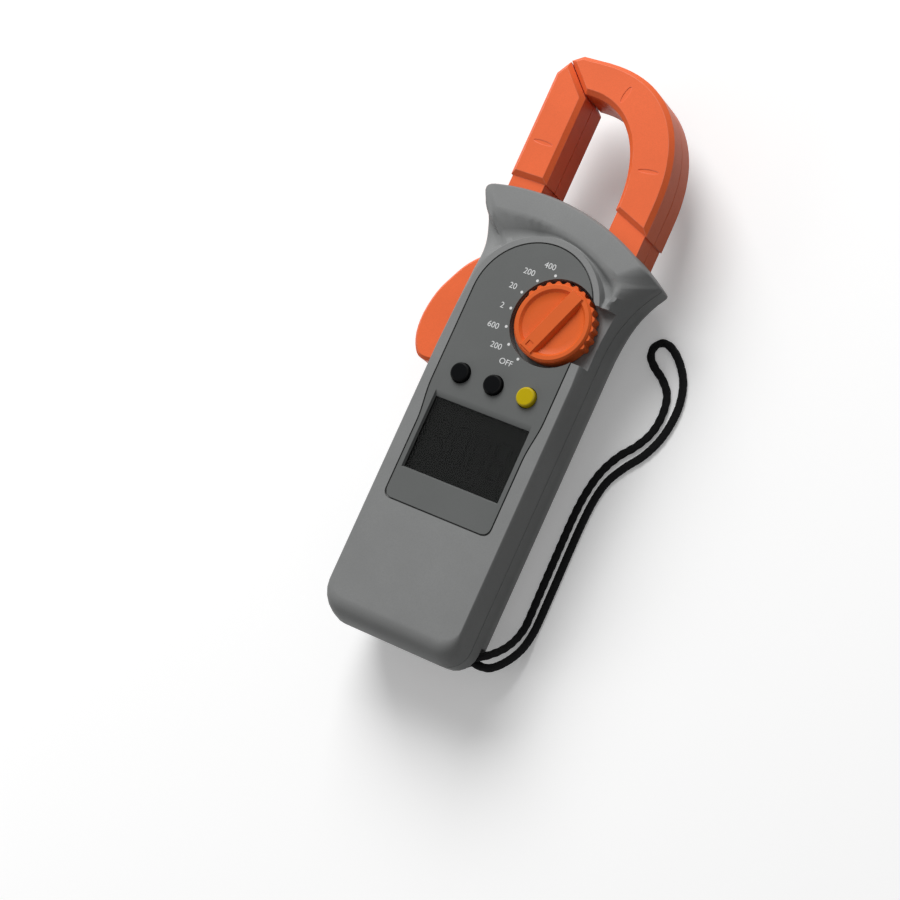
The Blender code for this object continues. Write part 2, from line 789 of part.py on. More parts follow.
DOOR_HALF = BATTERY_HALF + 1.6
DOOR_LOW_Y = BATTERY_LOW_Y - 1.5
DOOR_HIGH_Y = DOOR_SCREW_Y + 3.5
DOOR_THICK = 1.75
BAY_HIGH_Y = BATTERY_LOW_Y + BATTERY_LENGTH + 3.4
bay_inner = rectangle(-BATTERY_HALF - 0.6, BATTERY_HALF + 0.6, BATTERY_LOW_Y - 0.6, BAY_HIGH_Y)
BAY_TOP_Z = BACK_WALL + BATTERY_THICK
rear_keep = tool(
    "rear_posts",
    *[bar_round(x, y, POST_R, -2.0, SEAM_Z - HALF_SEAM, 20) for x, y in SCREW_SPOTS],
    bar_round(PIVOT_X, PIVOT_Y, 6.0, -2.0, SPRING_SEAT_Z),
    bar_round(0.0, DOOR_SCREW_Y, 3.4, -2.0, BACK_WALL + 7.0, 20),
    frame(offset(bay_inner, -1.4), bay_inner, -2.0, BAY_TOP_Z),
    block(HOOK_INNER_X - 0.3, BODY_HALF + 3.0, HOOK_BASE_Y - 1.5, 66.0, -2.0, JAW_BACK_Z + JAW_STEP - GAP),
    block(STRAP_PIN_X - 5.4, BODY_HALF + 3.0, BOTTOM_Y - 3.0, STRAP_PIN_Y + 6.3, -2.0, SEAM_Z - HALF_SEAM),
)
rear_space_rings = [level(shrunk(PLAIN, REAR_LEVELS[2][1] + WALL + 3.6), BACK_WALL)]
for share, inset, wing in REAR_LEVELS[3:-1]:
    rear_space_rings.append(level(shrunk(PLAIN, inset + WALL), share * REAR_HIGH_Z + 0.4))
rear_space_rings.append(level(shrunk(PLAIN, WALL), SEAM_Z + 2.0))
rear_space = tool("rear_space", stack(rear_space_rings))
cut(rear_space, rear_keep)
door_recess = rectangle(-DOOR_HALF - GAP, DOOR_HALF + GAP, DOOR_LOW_Y - GAP, DOOR_HIGH_Y + GAP)
door_hole = tool(
    "door_hole",
    stack(
        [
            level(door_recess, -3.0),
            level(door_recess, DOOR_THICK + GAP),
            level(bay_inner, DOOR_THICK + GAP),
            level(bay_inner, BACK_WALL + 3.0),
        ]
    ),
)
screw_hole = [
    (SCREW_HEAD_R + GAP, -3.0),
    (SCREW_HEAD_R + GAP, 7.0),
    (SCREW_R + SLACK, 7.0),
    (SCREW_R + SLACK, SEAM_Z + 2.0),
]
rear_holes = tool(
    "rear_holes",
    *[turned(x, y, screw_hole, 16) for x, y in SCREW_SPOTS],
    bar_round(PIVOT_X, PIVOT_Y, PIN_R + GAP, 5.7, SEAM_Z),
    bar_round(0.0, DOOR_SCREW_Y, SCREW_R + SLACK, -1.0, BACK_WALL + 5.0, 16),
    bar_round(STRAP_PIN_X, STRAP_PIN_Y, STRAP_PIN_R + SLACK, STRAP_SLOT_LOW_Z - 2.5, SEAM_Z + 1.0, 16),
)
jack_bores = tool(
    "jack_bores",
    *[
        laid_along_y(
            bar_round(0.0, 0.0, SHROUD_R + GAP, 0.0, SHROUD_LENGTH + 6.0, 32), x, BOTTOM_Y + 16.6, JACK_Z
        )
        for x in (-JACK_STEP, JACK_STEP)
    ],
)
spring_room = tool(
    "spring_room",
    bar_round(PIVOT_X, PIVOT_Y, SPRING_R + SPRING_WIRE + 0.6, SPRING_SEAT_Z, ARM_BACK_Z, 28),
)
strap_notch = tool(
    "strap_notch",
    block(
        STRAP_PIN_X - 3.4,
        BODY_HALF + 4.0,
        BOTTOM_Y - 4.0,
        STRAP_PIN_Y + 5.0,
        STRAP_SLOT_LOW_Z,
        STRAP_SLOT_HIGH_Z,
    ),
)
rear_case = make("rear_case", REAR_SKIN)
cut(rear_case, rear_space, door_hole, rear_holes, jack_bores, strap_notch, spring_room)
cut(rear_case, arm_sweep, swing_low, hook_pocket)
finish(rear_case, GREY, 0.55)

# Face panel and display

window_cut = tool(
    "window_cut",
    stack(
        [
            level(sight, POCKET_Z - 1.0),
            level(sight, POCKET_Z + 0.15),
            level(
                rectangle(-WINDOW_HALF - 0.5, WINDOW_HALF + 0.5, WINDOW_BOTTOM_Y - 0.5, WINDOW_TOP_Y + 2.2),
                PANEL_Z,
            ),
            level(
                rectangle(-WINDOW_HALF - 0.9, WINDOW_HALF + 0.9, WINDOW_BOTTOM_Y - 0.9, WINDOW_TOP_Y + 3.9),
                PANEL_Z + 1.0,
            ),
        ]
    ),
)
panel_holes = tool("panel_holes", *button_holes)
face_panel = make("face_panel", prism(panel_outline(0.0), POCKET_Z + SLACK, PANEL_Z))
cut(face_panel, well, notch, window_cut, panel_holes)
finish(face_panel, GREY, 0.5)

lens = make("lcd_window", block(-lens_half, lens_half, LENS_LOW_Y, LENS_HIGH_Y, LENS_Z, LENS_Z + LENS_THICK))
finish(lens, (0.05, 0.055, 0.055), 0.08)

GLASS_HALF = WINDOW_HALF + 0.3
GLASS_LOW_Y = WINDOW_BOTTOM_Y - 1.5
GLASS_HIGH_Y = WINDOW_TOP_Y + 1.2
GLASS_Z = DECK_UNDER_Z - 2.0
glass_outline = rectangle(-GLASS_HALF, GLASS_HALF, GLASS_LOW_Y, GLASS_HIGH_Y)
lcd_glass = make("lcd_glass", prism(glass_outline, GLASS_Z, DECK_UNDER_Z - GAP))
finish(lcd_glass, (0.18, 0.2, 0.17), 0.15)
holder_inner = offset(glass_outline, -GAP)
lcd_holder = make(
    "lcd_holder", frame(offset(holder_inner, -1.6), holder_inner, BOARD_TOP_Z + GAP, DECK_UNDER_Z - GAP)
)
finish(lcd_holder, (0.6, 0.6, 0.58), 0.5)
for strip_name, strip_y in (("lcd_strip_upper", GLASS_HIGH_Y - 2.8), ("lcd_strip_lower", GLASS_LOW_Y + 0.3)):
    strip = make(
        strip_name,
        block(
            -WINDOW_HALF + 1.5, WINDOW_HALF - 1.5, strip_y, strip_y + 2.5, BOARD_TOP_Z + GAP, GLASS_Z - GAP
        ),
    )
    finish(strip, (0.5, 0.35, 0.38), 0.7)

# Board and what sits on it

board_holes = tool(
    "board_holes",
    *[bar_round(x, y, BOSS_R + GAP, BOARD_Z - 1.0, BOARD_TOP_Z + 1.0, 20) for x, y in SCREW_SPOTS[:4]],
    *[
        bar_round(x, y, SCREW_R + SLACK, BOARD_Z - 1.0, BOARD_TOP_Z + 1.0, 16)
        for x, y in BOARD_SCREW_SPOTS
    ],
    bar_round(KNOB_X, KNOB_Y, 2.0, BOARD_Z - 1.0, BOARD_TOP_Z + 1.0, 16),
)
main_board = make(
    "main_board", block(-BOARD_HALF, BOARD_HALF, BOARD_LOW_Y, BOARD_HIGH_Y, BOARD_Z, BOARD_TOP_Z)
)
cut(main_board, board_holes)
finish(main_board, GREEN, 0.4)
chip = make("meter_chip", bevelled(rectangle(-1.0, 11.0, -40.0, -28.0), BOARD_Z - 1.9, BOARD_Z - GAP, 0.4))
finish(chip, BLACK, 0.4)
buzzer = make(
    "buzzer",
    turned(
        0.0,
        -73.0,
        [
            (8.4, BOARD_TOP_Z + GAP),
            (9.0, BOARD_TOP_Z + 0.8),
            (9.0, BOARD_TOP_Z + 2.6),
            (3.0, BOARD_TOP_Z + 3.0),
        ],
        28,
    ),
)
finish(buzzer, BLACK, 0.45)


def screw(name, x, y, head_z, head_height, tip_z):
    """Pan-head screw with a cross slot; its head looks down."""
    profile = [
        (SCREW_HEAD_R * 0.8, head_z),
        (SCREW_HEAD_R, head_z + head_height * 0.4),
        (SCREW_HEAD_R, head_z + head_height),
        (SCREW_R, head_z + head_height),
        (SCREW_R, tip_z - 1.0),
        (SCREW_R * 0.4, tip_z),
    ]
    made = make(name, turned(x, y, profile, 16))
    slots = [
        tool(
            name + "_slot_a",
            block(x - 1.5, x + 1.5, y - 0.3, y + 0.3, head_z - 1.0, head_z + head_height * 0.45),
        ),
        tool(
            name + "_slot_b",
            block(x - 0.3, x + 0.3, y - 1.5, y + 1.5, head_z - 1.2, head_z + head_height * 0.5),
        ),
    ]
    cut(made, *slots)
    finish(made, STEEL, 0.35, 1.0)
    return made


for number, (screw_x, screw_y) in enumerate(SCREW_SPOTS, 1):
    screw(f"case_screw_{number}", screw_x, screw_y, 4.7, 2.0, SEAM_Z + 5.5)
for number, (screw_x, screw_y) in enumerate(BOARD_SCREW_SPOTS, 1):
    screw(f"board_screw_{number}", screw_x, screw_y, BOARD_Z - GAP - 0.9, 0.9, BOARD_TOP_Z + 3.6)

# Dial

tail = OFF_ANGLE - 180.0
teeth = 13
rim_outline = []
for k in range(4 * teeth):
    angle = tail - 90.0 + 180.0 * k / (4 * teeth)
    radius = KNOB_R + (KNOB_TOOTH if k % 4 in (1, 2) else 0.0)
    rim_outline += arc(KNOB_X, KNOB_Y, radius, angle, angle, 1)[:1]
rim_outline += arc(KNOB_X, KNOB_Y, KNOB_R, tail + 90.0, tail + 270.0, 26)[:-1]
dial_knob = make("dial_knob", prism(rim_outline, KNOB_BASE_Z, KNOB_TOP_Z - 1.1))
knob_top = tool(
    "knob_top",
    turned(
        KNOB_X,
        KNOB_Y,
        [
            (KNOB_R - 0.3, KNOB_BASE_Z + 2.0),
            (KNOB_R - 0.15, KNOB_TOP_Z - 0.7),
            (KNOB_FACE_R - 0.4, KNOB_TOP_Z),
        ],
        52,
    ),
)
knob_dish = tool(
    "knob_dish",
    turned(
        KNOB_X,
        KNOB_Y,
        [
            (KNOB_FACE_R - 5.6, KNOB_TOP_Z - 1.7),
            (KNOB_FACE_R - 2.8, KNOB_TOP_Z - 1.1),
            (KNOB_FACE_R - 1.8, KNOB_TOP_Z),
            (KNOB_FACE_R - 1.0, KNOB_TOP_Z + 1.0),
        ],
        44,
    ),
)
GRIP_HALF = 3.5
grip_ring_low = rectangle(-KNOB_FACE_R + 0.5, KNOB_FACE_R - 0.5, -GRIP_HALF, GRIP_HALF)
grip_ring_high = rectangle(-KNOB_FACE_R + 1.2, KNOB_FACE_R - 1.2, -GRIP_HALF + 0.9, GRIP_HALF - 0.9)
knob_grip = tool(
    "knob_grip",
    turned_form(
        stack(
            [
                level(grip_ring_low, KNOB_TOP_Z - 3.2),
                level(grip_ring_low, KNOB_TOP_Z - 0.9),
                level(grip_ring_high, KNOB_TOP_Z + 0.7),
            ]
        ),
        OFF_ANGLE,
        KNOB_X,
        KNOB_Y,
    ),
)
KNOB_STEM_Z = WELL_FLOOR_Z - FLOOR_THICK
knob_stem = tool("knob_stem", bar_round(KNOB_X, KNOB_Y, STEM_R, KNOB_STEM_Z, KNOB_BASE_Z + 1.0, 28))
BALL_R = 1.0
BALL_X = KNOB_X + 10.4 * cos(radians(OFF_ANGLE + 90.0))
BALL_Y = KNOB_Y + 10.4 * sin(radians(OFF_ANGLE + 90.0))
BALL_Z = WELL_FLOOR_Z + BALL_R + 0.2
knob_hollows = tool(
    "knob_hollows",
    bar_round(KNOB_X, KNOB_Y, 2.7, KNOB_STEM_Z - 1.0, KNOB_STEM_Z + 3.0, 20),
    bar_round(BALL_X, BALL_Y, BALL_R + GAP, KNOB_BASE_Z - 1.0, KNOB_BASE_Z + 2.6, 16),
)
mark_form = block(KNOB_FACE_R - 4.6, KNOB_FACE_R - 2.2, -1.2, 1.2, KNOB_TOP_Z + 0.35, KNOB_TOP_Z + 2.0)
knob_mark = tool("knob_mark", turned_form(mark_form, OFF_ANGLE, KNOB_X, KNOB_Y))
fuse(dial_knob, knob_top)
cut(dial_knob, knob_dish)
fuse(dial_knob, knob_grip, knob_stem)
cut(dial_knob, knob_hollows, knob_mark)
finish(dial_knob, ORANGE, 0.45)

ROTOR_Z = BOARD_TOP_Z + 0.75
rotor = make(
    "dial_rotor",
    turned(
        KNOB_X,
        KNOB_Y,
        [
            (11.0, ROTOR_Z),
            (11.5, ROTOR_Z + 0.2),
            (11.5, KNOB_STEM_Z - GAP),
            (2.4, KNOB_STEM_Z - GAP),
            (2.4, KNOB_STEM_Z + 2.6),
        ],
        36,
    ),
)
finish(rotor, (0.7, 0.7, 0.68), 0.5)
contact = make(
    "dial_contact",
    frame(
        circle(KNOB_X, KNOB_Y, 10.5, 32), circle(KNOB_X, KNOB_Y, 6.0, 32), BOARD_TOP_Z + 0.25, ROTOR_Z - 0.25
    ),
)
finish(contact, BRASS, 0.3, 1.0)
ball_profile = [(BALL_R * sin(pi * k / 8), BALL_Z - BALL_R * cos(pi * k / 8)) for k in range(1, 8)]
ball = make("detent_ball", turned(BALL_X, BALL_Y, ball_profile, 14))
finish(ball, STEEL, 0.2, 1.0)
coil_low = BALL_Z + BALL_R + 0.35
coil_high = KNOB_BASE_Z + 2.2
coil_path = []
for k in range(33):
    angle = 2 * pi * k / 16
    coil_z = coil_low + (coil_high - coil_low) * k / 32
    coil_path.append((BALL_X + 0.75 * cos(angle), BALL_Y + 0.75 * sin(angle), coil_z))
detent_spring = make("detent_spring", sweep(coil_path, 0.18, 0.18, 6))
finish(detent_spring, STEEL, 0.3, 1.0)

# Buttons and their domes

DOME_TOP_Z = DECK_UNDER_Z - 2.3
for (button_x, button_y), button_name, button_colour in zip(
    button_spots, ("select", "max", "hold"), (BLACK, BLACK, YELLOW)
):
    button = make(
        "button_" + button_name,
        turned(
            button_x,
            button_y,
            [
                (2.0, DOME_TOP_Z + GAP),
                (2.0, DECK_UNDER_Z - 1.3),
                (BUTTON_R + 1.0, DECK_UNDER_Z - 1.3),
                (BUTTON_R + 1.0, DECK_UNDER_Z - GAP),
                (BUTTON_R, DECK_UNDER_Z - GAP),
                (BUTTON_R, BUTTON_TOP_Z - 0.7),
                (BUTTON_R - 0.25, BUTTON_TOP_Z - 0.2),
                (BUTTON_R - 0.8, BUTTON_TOP_Z),
            ],
            28,
        ),
    )
    finish(button, button_colour, 0.5)
    dome = make(
        "dome_" + button_name,
        turned(
            button_x,
            button_y,
            [(4.0, BOARD_TOP_Z + GAP), (4.0, BOARD_TOP_Z + 0.8), (2.9, DOME_TOP_Z - 0.8), (2.2, DOME_TOP_Z)],
            20,
        ),
    )
    finish(dome, RUBBER, 0.8)

# Jaws


def superellipse(cx, cy, half_x, half_y, power, start, stop, steps):
    points = []
    for k in range(steps + 1):
        angle = radians(start + (stop - start) * k / steps)
        x = cx + copysign(abs(cos(angle)) ** (2 / power), cos(angle)) * half_x
        points.append((x, cy + abs(sin(angle)) ** (2 / power) * half_y))
    return points


def cut_at_mate(points, total):
    """Runs the points until x + y = total would be crossed toward the tip, and ends on that line."""
    kept = [points[0]]
    for before, after in zip(points, points[1:]):
        here = before[0] + before[1] - total
        there = after[0] + after[1] - total
        if here >= 0 > there:
            t = here / (here - there)
            kept.append((before[0] + (after[0] - before[0]) * t, before[1] + (after[1] - before[1]) * t))
            return kept
        kept.append(after)
    return kept


BAR_SUM = MATE_SUM - MATE_GAP * sqrt(0.5)
HOOK_SUM = MATE_SUM + MATE_GAP * sqrt(0.5)
BAR_TIP_X = BAR_OUTER_X + 3.5
BAR = [
    (BAR_INNER_X, BAR_STEP_Y),
    (BAR_INNER_X, BAR_SUM - BAR_INNER_X),
    (BAR_TIP_X, BAR_SUM - BAR_TIP_X),
    (BAR_OUTER_X, BAR_SUM - BAR_TIP_X - 5.6),
    (BAR_OUTER_X, BAR_STEP_Y),
]
BAR_TALL = [
    (BAR_BASE_INNER_X, BAR_BASE_Y),
    (BAR_BASE_INNER_X, BAR_STEP_Y + 3.0),
    (BAR_BASE_OUTER_X, BAR_STEP_Y + 3.0),
    (BAR_BASE_OUTER_X, BAR_BASE_Y),
]
BAR_LOW = [
    (LEG_SPLIT_X, LEG_LOW_Y - 1.0),
    (LEG_SPLIT_X, LEG_HIGH_Y + 1.5),
    (BAR_BASE_INNER_X, LEG_HIGH_Y + 1.5),
    (BAR_BASE_INNER_X, BAR_STEP_Y + 2.0),
    (BAR_BASE_OUTER_X, BAR_STEP_Y + 2.0),
    (BAR_BASE_OUTER_X, PIVOT_Y + 10.0),
] + arc(PIVOT_X, PIVOT_Y, HUB_R, 170.0, 360.0, 18)
inner_half = HOOK_INNER_X - INNER_CX
outer_half = HOOK_OUTER_X - OUTER_CX
outer_rise = HOOK_TOP_Y - OUTER_CY
inner_edge = superellipse(INNER_CX, INNER_CY, inner_half, INNER_RISE, 2.2, 0.0, 100.0, 26)
inner_edge = cut_at_mate(inner_edge, HOOK_SUM)
outer_edge = superellipse(OUTER_CX, OUTER_CY, outer_half, outer_rise, 2.3, 0.0, 90.0, 26)
HOOK_TIP_X = BAR_TIP_X + 0.1
HOOK = [(HOOK_OUTER_X, HOOK_STEP_OUTER_Y)]
HOOK += outer_edge
HOOK += [(HOOK_TIP_X + 4.2, HOOK_TOP_Y - 0.4), (HOOK_TIP_X, HOOK_SUM - HOOK_TIP_X)]
HOOK += list(reversed(inner_edge))

CORE_SKIN = 3.6
fixed_outer = superellipse(
    OUTER_CX, OUTER_CY, outer_half - CORE_SKIN, outer_rise - CORE_SKIN, 2.3, 0.0, 90.0, 16
)
fixed_inner = superellipse(
    INNER_CX, INNER_CY, inner_half + CORE_SKIN, INNER_RISE + CORE_SKIN, 2.2, 0.0, 100.0, 16
)
fixed_inner = cut_at_mate(fixed_inner, HOOK_SUM + 2.6)
core_tip_x = HOOK_TIP_X + 7.0
FIXED_CORE = [(LEG_SPLIT_X + 1.4, LEG_LOW_Y), (HOOK_OUTER_X - CORE_SKIN, LEG_LOW_Y)]
FIXED_CORE += fixed_outer
FIXED_CORE += [(core_tip_x, HOOK_SUM + 2.6 - core_tip_x)]
FIXED_CORE += list(reversed(fixed_inner))
FIXED_CORE += [(HOOK_INNER_X + CORE_SKIN, LEG_HIGH_Y), (LEG_SPLIT_X + 1.4, LEG_HIGH_Y)]
MOVING_CORE = [
    (LEG_SPLIT_X - 0.9, LEG_LOW_Y),
    (LEG_SPLIT_X - 0.9, LEG_HIGH_Y),
    (BAR_INNER_X - CORE_SKIN, LEG_HIGH_Y),
    (BAR_INNER_X - CORE_SKIN, BAR_SUM - 1.7 - BAR_INNER_X + CORE_SKIN),
    (BAR_TIP_X + 2.0, BAR_SUM - 1.7 - BAR_TIP_X - 2.0),
    (BAR_OUTER_X + CORE_SKIN, BAR_SUM - BAR_TIP_X - 7.0),
    (BAR_OUTER_X + CORE_SKIN, LEG_LOW_Y + 4.0),
    (BAR_OUTER_X + CORE_SKIN + 3.6, LEG_LOW_Y),
]
front_low = SEAM_Z + HALF_SEAM
back_high = SEAM_Z - HALF_SEAM
base_back = JAW_BACK_Z + JAW_STEP
base_front = JAW_FRONT_Z - JAW_STEP
low_front = HEAD_CEILING_Z - 0.4
fixed_core_room = tool(
    "fixed_core_room", prism(offset(FIXED_CORE, -GAP), CORE_BACK_Z - GAP, CORE_FRONT_Z + GAP)
)
moving_core_room = tool(
    "moving_core_room", prism(offset(MOVING_CORE, -GAP), CORE_BACK_Z - GAP, CORE_FRONT_Z + GAP)
)
pivot_bore = tool("pivot_bore", bar_round(PIVOT_X, PIVOT_Y, PIN_R + GAP, ARM_BACK_Z - 2.0, PANEL_Z))

fixed_front = make("fixed_jaw_front", bevelled(HOOK, front_low, JAW_FRONT_Z, 0.0, JAW_BEVEL))
fuse(fixed_front, tool("hook_base_front", prism(HOOK_BASE, front_low, base_front)))
cut(fixed_front, fixed_core_room)
finish(fixed_front, ORANGE, 0.45)
fixed_rear = make("fixed_jaw_rear", bevelled(HOOK, JAW_BACK_Z, back_high, JAW_BEVEL, 0.0))
fuse(fixed_rear, tool("hook_base_rear", prism(HOOK_BASE, base_back, back_high)))
cut(fixed_rear, fixed_core_room)
finish(fixed_rear, ORANGE, 0.45)
fixed_core = make("fixed_core", prism(FIXED_CORE, CORE_BACK_Z, CORE_FRONT_Z))
finish(fixed_core, STEEL, 0.4, 1.0)

moving_front = make("moving_jaw_front", bevelled(BAR, front_low, JAW_FRONT_Z, 0.0, JAW_BEVEL))
fuse(
    moving_front,
    tool("bar_tall_front", prism(BAR_TALL, front_low, base_front)),
    tool("bar_low_front", prism(BAR_LOW, front_low, low_front)),
)
cut(moving_front, moving_core_room, pivot_bore)
finish(moving_front, ORANGE, 0.45)
moving_rear = make("moving_jaw_rear", bevelled(BAR, JAW_BACK_Z, back_high, JAW_BEVEL, 0.0))
fuse(
    moving_rear,
    tool("bar_low_rear", prism(BAR_LOW, base_back, back_high)),
    tool("jaw_arm", bevelled(ARM, ARM_BACK_Z, ARM_FRONT_Z, 1.2, 1.2)),
    tool("jaw_hub", bar_round(PIVOT_X, PIVOT_Y, HUB_R, ARM_BACK_Z, back_high - 1.0, 36)),
)
cut(moving_rear, moving_core_room, pivot_bore)
finish(moving_rear, ORANGE, 0.45)
moving_core = make("moving_core", prism(MOVING_CORE, CORE_BACK_Z, CORE_FRONT_Z))
finish(moving_core, STEEL, 0.4, 1.0)

COIL_BUILD = 1.5
coil_low_x = LEG_SPLIT_X + 5.0
coil_high_x = HOOK_INNER_X - 2.7
pickup_coil = make(
    "pickup_coil",
    bevelled(
        rectangle(coil_low_x, coil_high_x, LEG_LOW_Y - COIL_BUILD, LEG_HIGH_Y + COIL_BUILD),
        CORE_BACK_Z - COIL_BUILD,
        CORE_FRONT_Z + COIL_BUILD,
        0.6,
        0.6,
    ),
)
cut(
    pickup_coil,
    tool(
        "coil_bore",
        block(
            coil_low_x - 2.0,
            coil_high_x + 2.0,
            LEG_LOW_Y - GAP,
            LEG_HIGH_Y + GAP,
            CORE_BACK_Z - GAP,
            CORE_FRONT_Z + GAP,
        ),
    ),
)
finish(pickup_coil, COPPER, 0.4, 1.0)
pivot_pin = make(
    "jaw_pivot_pin",
    turned(
        PIVOT_X,
        PIVOT_Y,
        [
            (PIN_R - 0.4, 6.0),
            (PIN_R, 6.4),
            (PIN_R, HEAD_CEILING_Z + 0.5),
            (PIN_R - 0.4, HEAD_CEILING_Z + 0.9),
        ],
        24,
    ),
)
finish(pivot_pin, STEEL, 0.3, 1.0)
spring_top = ARM_BACK_Z - SPRING_WIRE - GAP
spring_low = SPRING_SEAT_Z + SPRING_WIRE + GAP
spring_path = [(PIVOT_X - 2.2, PIVOT_Y - 13.0, spring_top)]
spring_steps = 36
for k in range(spring_steps + 1):
    angle = radians(180.0) - 2 * pi * SPRING_TURNS * k / spring_steps
    coil_z = spring_top + (spring_low - spring_top) * k / spring_steps
    spring_path.append((PIVOT_X + SPRING_R * cos(angle), PIVOT_Y + SPRING_R * sin(angle), coil_z))
last_x, last_y, last_z = spring_path[-1]
spring_path.append((last_x + 7.0, last_y, last_z))
jaw_spring = make("jaw_spring", sweep(spring_path, SPRING_WIRE, SPRING_WIRE, 6))
finish(jaw_spring, STEEL, 0.3, 1.0)

# Power and input

BATTERY_Z = BACK_WALL + 0.4
battery = make(
    "battery",
    bevelled(
        rectangle(-BATTERY_HALF, BATTERY_HALF, BATTERY_LOW_Y, BATTERY_LOW_Y + BATTERY_LENGTH),
        BATTERY_Z,
        BATTERY_Z + BATTERY_THICK,
        0.8,
        0.8,
    ),
)
finish(battery, (0.25, 0.25, 0.27), 0.35, 0.6)
snap_low_y = BATTERY_LOW_Y + BATTERY_LENGTH + GAP
snap = make(
    "battery_snap",
    block(
        -BATTERY_HALF + 0.8,
        BATTERY_HALF - 0.8,
        snap_low_y,
        BAY_HIGH_Y - GAP,
        BATTERY_Z + 1.5,
        BATTERY_Z + BATTERY_THICK - 1.5,
    ),
)
finish(snap, BLACK, 0.5)
door = make("battery_door", block(-DOOR_HALF, DOOR_HALF, DOOR_LOW_Y, DOOR_HIGH_Y, 0.05, DOOR_THICK))
door_bore = [
    (SCREW_HEAD_R + 0.2, -1.0),
    (SCREW_HEAD_R + 0.2, 1.1),
    (SCREW_R + 0.2, 1.1),
    (SCREW_R + 0.2, 4.0),
]
cut(door, tool("door_bore", turned(0.0, DOOR_SCREW_Y, door_bore, 20)))
finish(door, GREY, 0.6)
screw("battery_door_screw", 0.0, DOOR_SCREW_Y, 0.1, 0.85, BACK_WALL + 4.5)

for side, jack_name, jack_colour in ((-1, "common", BLACK), (1, "volt", RED)):
    jack_x = side * JACK_STEP
    shroud = make(
        "jack_shroud_" + jack_name,
        laid_along_y(bar_round(0.0, 0.0, SHROUD_R, 0.0, SHROUD_LENGTH, 32), jack_x, JACK_END_Y, JACK_Z),
    )
    shroud_bore = turned(
        0.0,
        0.0,
        [
            (SLEEVE_R + GAP, -1.0),
            (SLEEVE_R + GAP, 1.8),
            (SHROUD_BORE_R, 1.8),
            (SHROUD_BORE_R, SHROUD_LENGTH + 2.0),
        ],
        28,
    )
    cut(
        shroud,
        tool("shroud_bore_" + jack_name, laid_along_y(shroud_bore, jack_x, JACK_END_Y, JACK_Z)),
    )
    finish(shroud, jack_colour, 0.4)
    sleeve_length = SHROUD_LENGTH - SLEEVE_SET_BACK
    sleeve = make(
        "jack_sleeve_" + jack_name,
        laid_along_y(bar_round(0.0, 0.0, SLEEVE_R, 0.1, sleeve_length, 24), jack_x, JACK_END_Y, JACK_Z),
    )
    cut(
        sleeve,
        tool(
            "sleeve_bore_" + jack_name,
            laid_along_y(
                bar_round(0.0, 0.0, SLEEVE_BORE_R, 1.6, sleeve_length + 2.0, 20), jack_x, JACK_END_Y, JACK_Z
            ),
        ),
    )
    finish(sleeve, BRASS, 0.3, 1.0)

# Strap

strap_pin = make(
    "strap_pin",
    bar_round(STRAP_PIN_X, STRAP_PIN_Y, STRAP_PIN_R, STRAP_SLOT_LOW_Z - 2.2, SEAM_Z - 0.5, 16),
)
finish(strap_pin, STEEL, 0.3, 1.0)
STRAP_RUN = [
    (24.3, -106.7, 16.9),
    (29.8, -105.2, 15.8),
    (33.8, -98.0, 8.0),
    (34.2, -88.0, STRAP_Z),
    (34.0, -72.0, STRAP_Z),
    (33.8, -56.0, STRAP_Z),
    (33.8, -43.0, STRAP_Z),
    (34.6, -33.5, STRAP_Z),
    (36.6, -25.0, STRAP_Z),
    (40.4, -17.5, STRAP_Z),
    (45.2, -11.5, STRAP_Z),
    (48.6, -5.0, STRAP_Z),
    (49.6, 2.5, STRAP_Z),
    (48.2, 10.0, STRAP_Z),
    (44.0, 15.0, STRAP_Z),
    (39.3, 18.2, STRAP_Z),
    (36.0, 21.6, STRAP_Z),
    (35.6, 25.4, STRAP_Z),
    (38.2, 28.0, STRAP_Z),
    (42.4, 27.2, STRAP_Z),
    (47.6, 23.0, STRAP_Z),
    (52.0, 16.6, STRAP_Z),
    (54.2, 8.6, STRAP_Z),
    (54.2, 0.8, STRAP_Z),
    (52.6, -7.0, STRAP_Z),
    (49.2, -14.2, STRAP_Z),
    (44.4, -20.6, STRAP_Z),
    (40.4, -27.6, STRAP_Z),
    (38.6, -35.5, STRAP_Z),
    (38.0, -45.0, STRAP_Z),
    (38.0, -57.0, STRAP_Z),
    (38.2, -72.0, STRAP_Z),
    (38.2, -88.0, STRAP_Z),
    (37.4, -99.0, 5.5),
    (32.6, -107.6, 11.3),
    (24.3, -108.3, 12.8),
]
strap_path = [(x, y, max(z, STRAP_Z)) for x, y, z in smooth_path(STRAP_RUN, 2)]
wrist_strap = make("wrist_strap", sweep(strap_path, STRAP_HALF_WIDTH, STRAP_HALF_THICK, 8))
finish(wrist_strap, BLACK, 0.9)
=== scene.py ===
"""Looks of a clamp-type digital multimeter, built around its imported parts.

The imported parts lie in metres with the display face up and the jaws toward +Y.
Places and sizes that are written in millimetres are multiplied by MM.
"""

import json
from math import cos, pi, radians, sin

import bpy
from bpy.props import FloatProperty, FloatVectorProperty, PointerProperty
from mathutils import Matrix, Vector


